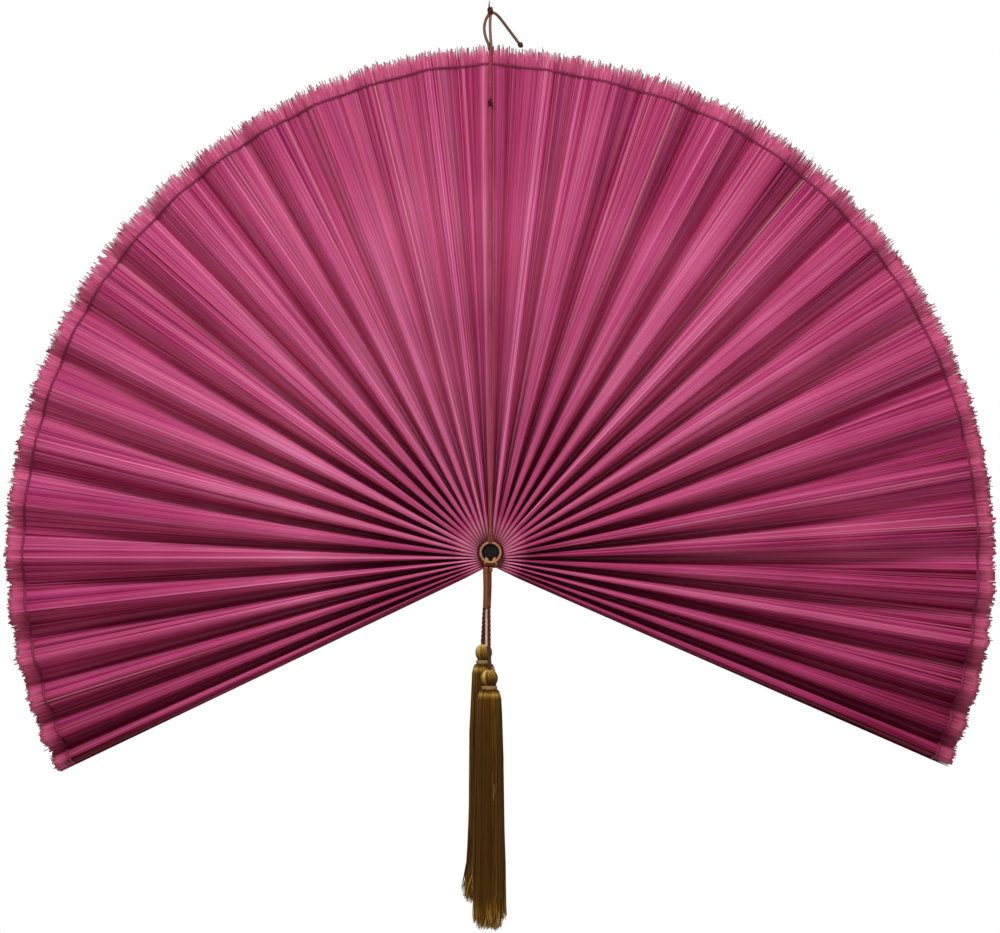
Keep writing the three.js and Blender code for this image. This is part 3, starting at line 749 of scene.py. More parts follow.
def lay_splints(bm, flank, settings, pick, number):
    """The side with odd numbers takes the splint on the ridge, the other the one in the valley"""
    count = settings.splints_per_side
    ragged = settings.tip_raggedness
    at_edge = not isinstance(flank.beyond, Pleat)
    calm = min(1.0, max(0.0, abs(flank.pleat.turn) - 0.85) / 0.7)
    right_side = number % 2
    for k in range(0 if right_side else 1, count + 1 if at_edge or not right_side else count):
        share = k / count
        along_mat = number * count + k if right_side else (number + 1) * count - k
        tip = flank.tip_radius(share)
        stitched = tip - settings.thread_inset
        end = tip + ragged * (0.7 * smooth_noise(along_mat * 0.17, 7.3) - 0.8 + pick.gauss(0, 1 - 0.5 * calm))
        stray = pick.random() < STRAY_SHARE * (1 - 0.6 * calm)
        if stray:
            end += pick.uniform(0.3, 1.5) * ragged
        end = min(max(end, tip - FURTHEST_TIP * ragged), tip + FURTHEST_TIP * ragged)
        start = INNER_END + pick.uniform(0, 0.3) * MM
        if abs(flank.place(share, GATHER_RADIUS).y) < GATHER_ROOM:
            start = GATHER_RADIUS + GATHER_ROOM
        swing = pick.gauss(0, 0.0002)
        lift = (WEAVE if k % 2 else -WEAVE) * MM + pick.gauss(0, 0.03) * MM
        splay = 0.0007 * smooth_noise(along_mat * 0.23, 2.9) + pick.gauss(0, 0.0005 if stray else 0.0002)
        out_splay = pick.gauss(0, 0.3) * MM
        width = pick.uniform(1.12, 1.24)
        tip_width = 0.3 if stray else pick.uniform(0.4, 0.75) + 0.3 * calm
        thick = pick.uniform(0.8, 1.1) * settings.splint_thickness / 2
        tone = 0.55 + 0.15 * smooth_noise(along_mat * 0.15, 3.1) + 0.085 * pick.gauss(0, 1)
        # the tone drops evenly towards the right of the leaf
        tone -= settings.darkening_to_right * flank.pleat.turn
        # painted shade: the lower wings, which get less light from above, are darker
        tone -= 0.15 * max(0.0, abs(flank.pleat.turn) - 1.0)
        # painted shadow: the outermost flank at each lower edge is darker, for the shade on its underside
        if at_edge:
            tone -= min(0.5, 0.25 * k) if k < count - 2 else 0.2
        tip_shade = (pick.uniform(0.6, 1.0) if stray else pick.uniform(0.2, 0.9)) * (1 - 0.5 * calm)
        pale = max(0.0, pick.gauss(0, 0.1)) if pick.random() < 0.4 else 0.0
        if pick.random() < BLEACHED_CHANCE:
            pale = pick.uniform(0.2, 0.5)
        stations, dye = [], []
        for stop in SPLINT_STOPS:
            radius = start + (end - start) * stop
            free = max(0.0, radius - stitched) / (end - stitched)
            lean = swing * math.sin(math.pi * stop) + splay * free ** 2
            up = lift + out_splay * free ** 1.5
            centre = flank.place(share, radius, lean, up)
            before = flank.place(share - 0.5 / count, radius, lean, up)
            after = flank.place(share + 0.5 / count, radius, lean, up)
            across = (after - before) * LAP * width * (1 + (tip_width - 1) * free ** 2)
            along = flank.place(share, radius + MM, lean, up) - centre
            out = across.cross(along).normalized()
            if out.y > 0:
                out = -out
            ridge, valley = flank.section(radius)[:2]
            room = 0.36 * radius * abs(valley - ridge)
            stations.append((centre, across, out * min(thick, room) * 1.06))
            # painted light: splints near the hub are lighter, paler and pinker, for a highlight at their inner
            # ends
            painted_hub_light = math.exp(-((radius - INNER_END) / PACKED_REACH) ** 2)
            shade = tip_shade * free ** 4
            fringe = min(1.0, 4 * free)
            tipped = (0.2 if stray else 1.0) * fringe * (1 - shade)
            # tone along a splint: darker towards both ends, lighter in the fringe, less the darkened tips, plus
            # painted light near the hub
            aged = 0.06 - 0.72 * (stop - 0.4) ** 2 + (0.24 - 0.12 * calm) * fringe - shade + 0.45 * painted_hub_light
            dye.append((tone + aged, pale + 0.12 * shade + 0.3 * painted_hub_light, max(tipped, 0.8 * painted_hub_light)))
        # painted shade: each splint is darker along its sides, for the shade in the seams between splints
        lay_bar(bm, stations, 6, dye, painted_side_shade=0.24)


def lay_stitching(bm, flank, settings, number):
    """Two threads that pass before and behind the splints by turns"""
    count = settings.splints_per_side
    thick = settings.thread_diameter
    for strand in (0, 1):
        route = []
        for j in range(2 * count + 1):
            share = j / (2 * count)
            radius = flank.tip_radius(share) - settings.thread_inset
            wave = math.sin(math.pi * (j / 2 + strand)) if j % 2 else 0.0
            slant = (0.35 if j % 2 else 0.1) * thick * (1 if strand else -1)
            wander = 0.4 * MM * smooth_noise(number * 1.7 + share, 4.0)
            base = flank.place(share, radius + slant + wander)
            side = flank.place(min(1.0, share + 0.02), radius) - flank.place(max(0.0, share - 0.02), radius)
            out = side.cross(flank.place(share, radius + MM) - flank.place(share, radius)).normalized()
            if out.y > 0:
                out = -out
            off = settings.splint_thickness / 2 + thick * 0.32
            route.append(base + out * off * wave)
        lay_bar(bm, round_stations(route, thick / 2, (0, 0, 1)), 5, finish=1)


class WALLFAN_OT_leaf(bpy.types.Operator):
    """Makes each pleat of the leaf from bamboo splints with their stitching"""

    bl_idname = "wall_fan.leaf"
    bl_label = "Make the leaf"

    def execute(self, context):
        settings = context.scene.wall_fan_leaf
        finishes = dyed_bamboo(settings), twined_thread("stitching_thread", settings.thread_colour)
        folds = [Pleat(name) for name in pleats]
        last = len(folds) - 1
        joint_of = {j["child"]: j["name"] for j in frame["joints"]}
        for i, pleat in enumerate(folds):
            left = folds[i - 1] if i else pleat.left
            right = folds[i + 1] if i < last else pleat.right
            sides = (2 * i, left, right), (2 * i + 1, right, left)
            if pleat.name == centre_pleat:
                for wing, side in zip(("left", "right"), sides):
                    self.lay_pleat(pleat, f"_{wing}", f"{wing}_wing_fold", [side], finishes, settings)
            else:
                self.lay_pleat(pleat, "", joint_of[pleat.name], sides, finishes, settings)
        return {"FINISHED"}

    def lay_pleat(self, pleat, ending, joint, sides, finishes, settings):
        """One piece of the leaf, which rides on its pleat's body"""
        bm = new_shape()
        for number, beyond, other in sides:
            flank = Flank(pleat, beyond, other, settings)
            lay_splints(bm, flank, settings, random.Random(LEAF_SEED + number), number)
            lay_stitching(bm, flank, settings, number)
        name = f"splints_{pleat.name[-2:]}{ending}"
        piece = make_piece(name, bm, finishes, pleat.body, [pleat.name])
        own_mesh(piece)


# Hub


RING_WIDTH = 4 * MM
DRUM_STEPS = 72
FIBRE_SEED = 17
THIN_TWIST = 5 * MM


class WALLFAN_OT_hub(bpy.types.Operator):
    """Makes the ring, the black core inside it and the gather cord behind it"""

    bl_idname = "wall_fan.hub"
    bl_label = "Make the hub"

    def execute(self, context):
        settings = context.scene.wall_fan_hub
        low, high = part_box("hub_ring")
        outer = (high.x - low.x) / 2
        inner = outer - RING_WIDTH
        middle = (low.y + high.y) / 2
        depth = high.y - low.y
        for name, finish, radius, y, half_radial, half_depth, replaced in (
            ("ring_lacquer_band", old_lacquer("ring_lacquer", settings.lacquer, 0.42),
             outer - 1.4 * MM, middle, 1.4 * MM, depth / 2, ["hub_ring"]),
            ("ring_cane_band", split_cane("ring_cane", settings.cane),
             outer - 3.05 * MM, low.y + 1.5 * MM, 1.05 * MM, 1.6 * MM, ()),
            ("ring_liner", old_lacquer("ring_liner", settings.liner, 0.4),
             inner + 0.15 * MM, middle, 0.65 * MM, depth / 2 - 0.9 * MM, ()),
        ):
            bm = new_shape()
            lay_ring(bm, radius, y, half_radial, half_depth)
            make_piece(name, bm, [finish], "root", replaced)
        self.core(settings, inner)
        self.gather_cord(context.scene.wall_fan_cord)
        return {"FINISHED"}

    def core(self, settings, inner):
        low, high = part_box("hub_core")
        wadding = black_wadding(settings)
        drum, neck = (high.x - low.x) / 2, 5.0 * MM
        profile = [
            (0.0, low.y + 0.2 * MM), (neck, low.y + 0.8 * MM), (neck, -14.6 * MM),
            (drum - 0.8 * MM, -14.2 * MM), (drum, -13.4 * MM), (drum, high.y - 1.2 * MM),
            (drum - 0.35 * MM, high.y - 0.35 * MM), (drum - 1.2 * MM, high.y), (0.0, high.y),
        ]
        bm = new_shape()
        verts = [bm.verts.new(hub_centre + Vector((r, y, 0.0))) for r, y in profile]
        edges = [bm.edges.new(pair) for pair in zip(verts, verts[1:])]
        bmesh.ops.spin(bm, geom=verts + edges, cent=hub_centre, axis=(0, 1, 0), angle=math.tau,
                       steps=DRUM_STEPS, use_merge=True, use_duplicate=False)
        bmesh.ops.remove_doubles(bm, verts=bm.verts, dist=1e-6)
        bmesh.ops.subdivide_edges(bm, edges=[e for e in bm.edges if e.calc_length() > 1.4 * MM],
                                  cuts=2, use_grid_fill=True)
        bmesh.ops.recalc_face_normals(bm, faces=bm.faces)
        for vert in bm.verts:
            bump = noise.noise(vert.co * 420.0) * 0.25 * MM
            if vert.co.y < high.y - 0.5 * MM:
                vert.co += vert.normal * bump
        for face in bm.faces:
            face.smooth = True
        make_piece("core_wadding", bm, [wadding], "root", ["hub_core"])
        pick = random.Random(FIBRE_SEED)
        bm = new_shape()
        for _ in range(settings.fuzz_fibres):
            turn, reach = pick.uniform(0, math.tau), (inner - 0.8 * MM) * math.sqrt(pick.random())
            spot = hub_centre + Vector((
                reach * math.cos(turn), low.y + 0.9 * MM - 0.5 * MM * (1 - (reach / inner) ** 2),
                reach * math.sin(turn)))
            lean = Vector((pick.gauss(0, 1), -0.7, pick.gauss(0, 1))).normalized()
            curl = Vector((pick.gauss(0, 1), 0.1, pick.gauss(0, 1))).normalized()
            long = pick.uniform(1.2, 2.6) * MM
            route = [
                spot + lean * long * t * (1 - 0.3 * t) + curl * long * 0.6 * t * t
                - Vector((0, 0.1 * MM, 0)) for t in (0, 0.25, 0.5, 0.75, 1.0)
            ]
            radii = [r * MM for r in (0.16, 0.15, 0.13, 0.1, 0.05)]
            lay_bar(bm, round_stations(route, radii, (1, 0, 0)), 4)
        make_piece("core_fibres", bm, [wadding], "root")

    def gather_cord(self, settings):
        cord = satin_cord("gather_cord_satin", settings.dark_satin)
        ends = (Pleat(pleats[0]).left.angle(GATHER_RADIUS) - math.radians(10),
                Pleat(pleats[-1]).right.angle(GATHER_RADIUS) + math.radians(22))
        route = []
        for i in range(97):
            angle = ends[0] + (ends[1] - ends[0]) * i / 96
            radius = GATHER_RADIUS - 24 * MM * max(0.0, abs(i / 48 - 1) - 0.9)
            route.append(round_hub(radius, angle))
        bm = new_shape()
        lay_twisted(bm, route, 2.0 * MM, 2, THIN_TWIST)
        for end in (route[0], route[-1]):
            lay_knot(bm, end, 1.9 * MM, 1.9 * MM, 1.1 * MM)
        make_piece("gather_cord_twist", bm, [cord], "root", ["gather_cord"])


# Cords


CORD_PLIES = 3
CORD_STEP = 1.1 * MM
STRAND_TWIST = 12 * MM
HITCH_RADIUS = 0.85 * MM
# painted shade: how much darker a smooth cord is painted along its sides
SMOOTH_CORD_SHADE = 0.7
RIDGE_ROUTE = [
    (0, -19.45, -440.9), (0, -15.98, -410.57), (0, -15.85, -380.25), (0, -15.66, -349.92),
    (0, -15.4, -319.6), (0, -15.08, -289.27), (0, -14.68, -258.95), (0, -14.2, -228.62),
    (0, -13.63, -198.3), (0, -12.95, -167.98), (0, -12.15, -137.65), (0, -11.19, -107.32),
    (0, -10.02, -77),
]
UPPER_ROUTE = [(0, -9.76, -71), (0, -9.08, -56.81), (0, -8.31, -42.62), (0, -7.67, -28)]
LOOP_LEFT_ROUTE = [
    (-1.3, -8.1, -29.0), (-1.6, -7.67, -24.23), (-4.0, -6.13, -18.16), (-5.3, -3.07, -10.36),
    (-4.1, -0.77, -3.14), (-1.9, 0, 1.2), (-1.2, 0, 2.6),
]
LOOP_RIGHT_ROUTE = [
    (0.9, -8.1, -29.0), (0.6, -7.67, -24.23), (0.1, -6.13, -18.16), (-0.3, -3.07, -10.36),
    (-0.3, -0.77, -3.14), (0.1, 0, 1.2), (0.3, 0, 2.6),
]
TAIL_ROUTE = [
    (1.5, 0, 3.6), (2.9, 0, 3.3), (5.15, 0, 1.9), (8.9, 0.4, -2.1), (17.52, 1.4, -13.51),
    (23.52, 2, -21.51), (24.6, 2, -22.7),
]
DROP_ROUTE = [(-1.6, -19.45, -467.6), (-1.68, -19.45, -480), (-2, -19.45, -486.8), (-2.75, -19.45, -502.2)]
REAR_STRAND_ROUTE = [
    (-5.0, -19.0, -502.0), (-5.1, -18.48, -506.32), (-5.3, -17.05, -513.02),
    (-5.5, -14.05, -521.39), (-5.65, -12.02, -528.36), (-5.7, -11.6, -532.9),
]
FRONT_STRAND_ROUTE = [
    (-1.3, -20.35, -502.0), (-1.3, -20.6, -507.59), (-1.2, -21.85, -519.35),
    (-1.1, -24.85, -534.05), (-0.8, -26.88, -546.3), (-0.8, -27.3, -554.0),
]
PALE_LEG_ROUTE = [
    (-3.4, -20.2, -501.6), (-3.4, -20.5, -507.6), (-3.4, -21.7, -519), (-3.5, -23.4, -528),
    (-3.5, -24.6, -534.5),
]


def in_metres(route, shift=(0, 0, 0), last_shift=None):
    """The route in metres, moved by a shift that may change evenly along it"""
    first, last = Vector(shift), Vector(last_shift or shift)
    return [(Vector(p) + first.lerp(last, i / (len(route) - 1))) * MM for i, p in enumerate(route)]


def make_cord(name, route, diameter, finishes, body, node, twist=None,
              beside=(), dye=PLAIN_DYE):
    """A cord of its own measured length, and thinner legs beside it.

    twist is the length of one full turn of its plies, or None for a smooth cord; dye may be a function
    of the place along it.
    """
    long = distances(smooth_route(route, 400))[-1]
    points = smooth_route(route, max(24, round(long / CORD_STEP)))
    if callable(dye):
        dye = [dye(point) for point in points]
    bm = new_shape()
    if twist:
        lay_twisted(bm, points, diameter, CORD_PLIES, twist, dye)
    else:
        # a smooth cord is painted darker along its sides, as painted shade
        stations = round_stations(points, diameter / 2, (1, 0, 0))
        lay_bar(bm, stations, 12, dye, painted_side_shade=SMOOTH_CORD_SHADE)
    for leg, thick in beside:
        lay_bar(bm, round_stations(smooth_route(leg, 40), thick / 2), 10, finish=1)
    piece = make_piece(name, bm, finishes, body, node)


class WALLFAN_OT_hanging_cord(bpy.types.Operator):
    """Makes the cord from the ring up over the rim, with its loop, tail and knots"""

    bl_idname = "wall_fan.hanging_cord"
    bl_label = "Make the hanging cord"

    def execute(self, context):
        settings = context.scene.wall_fan_cord
        satin = satin_cord("hanging_cord_satin", settings.satin, settings.brown_satin)
        dark = satin_cord("knot_satin", settings.dark_satin)
        ruddy = satin_cord("cord_knot_satin", settings.knot_satin)
        for node, thick in (("mid_knot", 1.7), ("top_knot", 2.1), ("tail_knot", 1.9)):
            low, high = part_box(node)
            half = (high - low) / 2
            bm = new_shape()
            if node == "top_knot":
                half *= 1.15
                end = in_metres([(-0.9, 0, 6.5), (-1.1, 0, 9), (-1.1, 0, 11.5), (-1.0, 0, 14)])
                taper = [1.0 * MM, 0.75 * MM, 0.5 * MM, 0.25 * MM]
                lay_bar(bm, round_stations(end, taper), 8, (1.1, 0.0, 0.0))
            lay_knot(bm, (low + high) / 2, half.x, half.z, thick * MM)
            finish = ruddy if node == "mid_knot" else dark
            make_piece(f"{node}_tied", bm, [finish], "root", [node])
        loop = satin_cord("loop_satin", settings.loop_satin)
        lay = settings.cord_lay
        # the loop's right strand has a higher tone as a painted highlight, the left strand and the tail lower ones
        # as painted shade
        for name, route, node, knot, finish, twist, lies, dye in (
            ("hanging_cord", RIDGE_ROUTE, "hanging_cord_lower", "mid_knot", satin, lay, "taut", self.ageing),
            ("hanging_cord_over_rim", UPPER_ROUTE, "hanging_cord_upper", None, satin, lay, "taut", PLAIN_DYE),
            ("loop_strand_left", LOOP_LEFT_ROUTE, "loop_left", "top_knot", loop, None, "taut", (0.65, 0, 0)),
            ("loop_strand_right", LOOP_RIGHT_ROUTE, "loop_right", None, loop, None, "taut", (0.95, 0, 0)),
            ("cord_tail", TAIL_ROUTE, "tail_cord", "tail_knot", loop, None, "hanging", (0.6, 0, 0)),
        ):
            make_cord(name, in_metres(route), settings.cord_diameter, [finish], "root", [node],
                      twist, dye=dye)
        return {"FINISHED"}

    def ageing(self, point):
        """The cord gets browner towards the hub, where it has been handled"""
        return 0.5, 0.7 * min(1.0, max(0.0, (-0.28 - point.z) / 0.16)), 0.0


class WALLFAN_OT_tassel_cords(bpy.types.Operator):
    """Makes the doubled cord under the ring and the two strands that carry the tassels"""

    bl_idname = "wall_fan.tassel_cords"
    bl_label = "Make the tassel cords"

    def execute(self, context):
        settings = context.scene.wall_fan_cord
        brown = satin_cord("doubled_cord_satin", settings.brown_satin)
        dark = satin_cord("strand_satin", settings.dark_satin)
        pale = satin_cord("pale_leg_satin", settings.pale_satin)
        thick = settings.doubled_diameter
        # painted light and shade: the left half has a lighter tone, the right half a darker one as if shaded by
        # the left
        for name, top, foot, share, tone, node in (
            ("doubled_cord_left", (-2.3, -0.55, 0), (-1.1, -0.55, 0), 1.3, 0.64, ["tassel_cord"]),
            ("doubled_cord_right", (0.65, 0.55, 0), (1.2, 0.55, 0), 1.0, 0.34, []),
        ):
            make_cord(name, in_metres(DROP_ROUTE, top, foot), share * thick, [brown],
                      "tassel_drop", node, dye=(tone, 0.0, 0.0))
        legs = {"front_tassel": [(in_metres(PALE_LEG_ROUTE, (0.2, 0, 0)), settings.pale_diameter)]}
        for name, route, node, share in (
            ("rear_strand", in_metres(REAR_STRAND_ROUTE, (0.5, 0, 0), (-0.6, 0, 0)), "rear_tassel", 1.2),
            ("front_strand", in_metres(FRONT_STRAND_ROUTE), "front_tassel", 0.9),
        ):
            make_cord(name, route, share * settings.strand_diameter, [dark, pale], node,
                      [f"{node}_strand"], twist=STRAND_TWIST, beside=legs.get(node, ()))
        self.bindings(thick, brown)
        return {"FINISHED"}

    def bindings(self, thick, finish):
        """The whipping at the doubled cord's foot and the two small knots at its top"""
        top, *_, foot = in_metres(DROP_ROUTE, (-0.9, 0, 0), (0.05, 0, 0))
        route = []
        turns, rise = 9, 0.78 * MM
        for i in range(turns * 20 + 1):
            angle = math.tau * i / 20
            route.append(foot + Vector((
                0.69 * thick * math.cos(angle) + 0.1 * MM * i / (turns * 20),
                (0.5 * thick + 0.25 * MM) * math.sin(angle), rise * i / 20 + 1.7 * MM)))
        bm = new_shape()
        lay_bar(bm, round_stations(route, 0.43 * MM, (0, 0, 1)), 6)
        for side in (-1, 1):
            # painted highlight: the two knots take a lighter tone than the cord
            knot = top + Vector((0.95 + side * 1.95, -2.6, -1.7)) * MM
            lay_knot(bm, knot, 1.9 * MM, 2.3 * MM, 1.5 * MM, side, 0.85)
        collar = [top + Vector((x, 0.4, 0.1)) * MM for x in (-3.2, -1.5, 0.8, 3.0, 4.6)]
        lay_bar(bm, round_stations(collar, [0.5 * MM, 1.3 * MM, 1.4 * MM, 1.3 * MM, 0.5 * MM]), 10)
        make_piece("doubled_cord_bindings", bm, [finish], "tassel_drop")


class WALLFAN_OT_hitches(bpy.types.Operator):
    """Makes the hitches that tie both cords to the ring"""

    bl_idname = "wall_fan.hitches"
    bl_label = "Make the hitches"

    def execute(self, context):
        settings = context.scene.wall_fan_cord
        gold = satin_cord("gold_hitch_satin", settings.gold_satin)
        brown = satin_cord("cord_hitch_satin", settings.brown_satin)
        dark = satin_cord("hitch_turn_satin", settings.dark_satin)
        ring_low, ring_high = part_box("hub_ring")
        outer = (ring_high.x - ring_low.x) / 2
        inner = outer - RING_WIDTH
        ring = (ring_low.y, ring_high.y)
        bm = new_shape()
        for x in (-0.95, 0.95):
            self.wrap(bm, x * MM, 1, (inner + 0.7 * MM, outer + 1.1 * MM), ring)
        make_piece("cord_hitch_wraps", bm, [brown], "root", ["cord_hitch"])
        bm = new_shape()
        for x, reach, lean in ((-4.1, 2.6, -0.6), (-2.0, 2.3, 1.3), (2.1, 2.3, -1.3), (4.2, 2.6, 0.6)):
            self.wrap(bm, x * MM, -1, (inner - reach * MM, outer - 1.6 * MM), ring, lean * MM)
        for low, half, thick, finish in ((8.2, 4.6, 0.75, 0), (10.3, 4.3, 1.0, 1)):
            across = [
                hub_centre + Vector((half * side * MM, ring[0] - 1.3 * MM, -low * MM))
                for side in (-1, -0.5, 0, 0.5, 1)
            ]
            radii = [thick * share * MM for share in (0.5, 0.95, 1.0, 0.95, 0.5)]
            lay_bar(bm, round_stations(across, radii), 10, finish=finish)
        make_piece("tassel_hitch_wraps", bm, [gold, dark], "root", ["tassel_hitch"])
        return {"FINISHED"}

    def wrap(self, bm, x, side, reach, ring, lean=0.0):
        """One turn of cord round the ring's section, from its inner reach to its outer one"""
        (inner, outer), (front, back) = reach, ring
        route = []
        middle_r, half_r = (inner + outer) / 2, (outer - inner) / 2
        middle_y, half_y = (front + back) / 2, (back - front) / 2 + 0.75 * HITCH_RADIUS
        for i in range(29):
            turn = math.pi / 2 + math.tau * i / 28
            c, s = math.cos(turn), math.sin(turn)
            route.append(hub_centre + Vector((
                x + lean * c, middle_y + half_y * flattened(s, 0.7),
                side * (middle_r + half_r * flattened(c, 0.7)),
            )))
        lay_twisted(bm, route, 2 * HITCH_RADIUS, 2, THIN_TWIST)


# Tassels


TASSEL_SEED = 40
NECK_SHARE = 0.78
BINDING_RADIUS = 0.52 * MM
BINDING_TURNS = 3
GOLDEN_SHARE = 0.6180339
SKIRT_STOPS = (0.0, 0.007, 0.019, 0.04, 0.1, 0.3, 0.55, 0.76, 0.88, 0.95, 1.0)


class WALLFAN_OT_tassels(bpy.types.Operator):
    """Makes both tassels: head, neck binding and skirt of yarn strands"""

    bl_idname = "wall_fan.tassels"
    bl_label = "Make the tassels"

    def execute(self, context):
        settings = context.scene.wall_fan_tassel
        yarn = tassel_yarn(settings)
        binding = twined_thread("binding_yarn", settings.band_yarn, 0.0012)
        for number, (body, head_tone, foot_growth) in enumerate(
            (("rear_tassel", 0.93, 0.2), ("front_tassel", 0.8, -0.14)),
        ):
            pick = random.Random(TASSEL_SEED + number)
            self.head(body, settings, yarn, pick, head_tone)
            self.band(body, binding)
            self.skirt(body, settings, yarn, pick, foot_growth)
        self.loose_thread(binding)
        return {"FINISHED"}

    def head(self, body, settings, yarn, pick, head_tone):
        low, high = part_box(f"{body}_head")
        centre = (low + high) / 2
        radius, height = (high.x - low.x) / 2, high.z - low.z
        neck = NECK_SHARE * radius
        count = settings.head_strands
        bm = new_shape()
        for layer, inset in ((0, 0.0), (1, 0.55 * MM)):
            for k in range(count):
                start = math.tau * (k + 0.5 * layer + pick.uniform(-0.2, 0.2)) / count
                swirl = 0.5 + pick.uniform(-0.16, 0.16)
                # painted shade: the inner layer of strands is darker
                tone = head_tone + 0.12 * pick.gauss(0, 1) - 0.35 * layer
                stations, dye = [], []
                for i in range(9):
                    t = i / 8
                    polar = math.pi * (0.05 + 0.82 * t)
                    round_r = (radius - 0.1 * MM - inset) * math.sin(polar) ** 0.8
                    at_neck = max(0.0, (t - 0.75) / 0.25)
                    r = round_r * (1 - at_neck) + max(neck - inset, round_r) * at_neck
                    drop = (1 - math.cos(polar)) / (1 - math.cos(math.pi * 0.87))
                    z = high.z - 0.2 * MM - (height - 0.2 * MM) * drop
                    angle = start + swirl * t
                    radial = Vector((math.cos(angle), math.sin(angle), 0))
                    side = Vector((-math.sin(angle), math.cos(angle), 0))
                    wide = max(0.22 * MM, 1.12 * math.pi * r / count)
                    place = Vector((centre.x, centre.y, z)) + radial * (r - 0.3 * MM)
                    slope = math.cos(polar)
                    out = (radial * math.sin(polar) + Vector((0, 0, slope))).normalized()
                    stations.append((place, side * wide, out * 0.5 * MM))
                    # painted light and shade: each strand is lighter at the top and on the left, and darker
                    # towards the neck
                    dye.append((tone - 0.85 * t ** 1.5 - 0.12 * radial.x, 0.0, 0.0))
                lay_bar(bm, stations, 5, dye)
        # an inner ball under the strands, given a dark tone as painted shade between them
        inside = [Vector((centre.x, centre.y, high.z - height * t)) for t in (0.14, 0.3, 0.5, 0.7, 0.85, 1.0)]
        radii = [(radius - 0.9 * MM) * share for share in (0.5, 0.85, 1.0, 0.9, 0.75, 0.7)]
        lay_bar(bm, round_stations(inside, radii, (1, 0, 0)), 24, (0.1, 0.0, 0.0))
        make_piece(f"{body}_yarn_head", bm, [yarn], body, [f"{body}_head"])

    def band(self, body, binding):
        low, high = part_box(f"{body}_band")
        centre = (low + high) / 2
        radius = (high.x - low.x) / 2
        thread = BINDING_RADIUS
        rise = (high.z - low.z - 2 * thread) / BINDING_TURNS
        bm = new_shape()
        route = []
        for i in range(BINDING_TURNS * 36 + 1):
            angle = math.tau * i / 36
            r = radius - thread
            route.append(Vector((
                centre.x + r * math.cos(angle), centre.y + r * math.sin(angle),
                low.z + thread + rise * i / 36)))
        lay_bar(bm, round_stations(route, thread, (0, 0, 1)), 8)
        core = [Vector((centre.x, centre.y, z)) for z in (low.z - 0.3 * MM, centre.z, high.z + 0.3 * MM)]
        lay_bar(bm, round_stations(core, radius - 1.3 * thread, (1, 0, 0)), 32)
        make_piece(f"{body}_neck_binding", bm, [binding], body, [f"{body}_band"])

    def skirt(self, body, settings, yarn, pick, foot_growth):
        """Strands hang in locks, which come together and fray at their ends"""
        low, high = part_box(f"{body}_skirt")
        centre = (low + high) / 2
        foot_radius = (high.x - low.x) / 2
        flat = (high.y - low.y) / (high.x - low.x)
        top_radius = 0.66 * foot_radius
        long = high.z - low.z
        thin = settings.yarn_diameter / 2
        per_lock = settings.skirt_strands // settings.locks
        bm = new_shape()
        for lock in range(settings.locks):
            layer = (1.0, 0.93, 0.74)[lock % 3]
            lock_turn = math.tau * lock * GOLDEN_SHARE
            first = (math.cos(lock_turn), math.sin(lock_turn), 0)
            lock_drift, lock_depth = pick.gauss(0, 0.10), pick.gauss(0, 0.02)
            lock_end = long - abs(pick.gauss(0, 2.5)) * MM
            lock_tone = 0.035 * pick.gauss(0, 1)
            lock_wave, lock_phase = pick.uniform(0.5, 1.3), pick.uniform(0, math.tau)
            for _ in range(per_lock):
                apart = pick.uniform(-1, 1) * 4.2 / settings.locks * math.pi
                depth = layer + pick.uniform(-0.06, 0.03)
                beside = abs(math.cos(lock_turn + apart)) * depth
                length = min(lock_end - abs(pick.gauss(0, 3.5)) * MM, long) - 9 * MM * beside ** 4
                flare, side_flare = min(0.2, pick.gauss(0, 0.13)), pick.gauss(0, 0.2)
                sway, waves = pick.gauss(0, 0.3) * MM, pick.uniform(0.8, 1.8)
                phase = pick.uniform(0, math.tau)
                # painted shade: the inner layers of locks are darker
                tone = 0.228 + lock_tone + 0.09 * pick.gauss(0, 1) - 0.16 * (1 - depth)
                bleached = pick.uniform(0.2, 0.85)
                dye, route, radii = [], [], []
                for t in SKIRT_STOPS:
                    neck = min(1.0, t / 0.03) ** 0.6
                    shoulder = top_radius + (foot_radius - top_radius) * t ** 0.6
                    end = max(0.0, t - 0.84) / 0.16
                    r = (0.8 * top_radius * (1 - neck) + shoulder * neck) * (depth + lock_depth * t) - thin
                    r *= 1 + foot_growth * end + flare * end ** 2
                    at = lock_turn + apart * (1 - 0.4 * end) + lock_drift * t + side_flare * end ** 2
                    slack = min(1.0, 3 * t)
                    wave = sway * math.sin(waves * math.tau * t + phase) * slack
                    wave += 0.5 * MM * math.sin(lock_wave * math.tau * t + lock_phase) * slack
                    route.append(Vector((
                        centre.x + r * math.cos(at) + wave,
                        centre.y + (r * math.sin(at) + 0.5 * wave) * (flat + (0.85 - flat) * (1 - neck)),
                        high.z - length * t,
                    )))
                    radii.append(thin * (1.1 if end < 0.5 else 1.1 - 0.6 * (2 * end - 1)))
                    # painted light: strands are lighter just under the neck, where the shoulder faces up; painted
                    # shade right under the band
                    painted_shoulder_light = 0.5 * math.exp(-((t - 0.019) / 0.014) ** 2) + 0.1 * math.exp(-t / 0.12)
                    painted_shade_under_band = 0.4 * math.exp(-(t / 0.006) ** 2)
                    dye.append((tone + painted_shoulder_light - painted_shade_under_band + bleached * end ** 1.5, 0.0, 0.0))
                # painted shade: each strand is darker along its sides
                lay_bar(bm, round_stations(route, radii, first), 4, dye, painted_side_shade=0.12)
        make_piece(f"{body}_yarn_skirt", bm, [yarn], body, [f"{body}_skirt"])

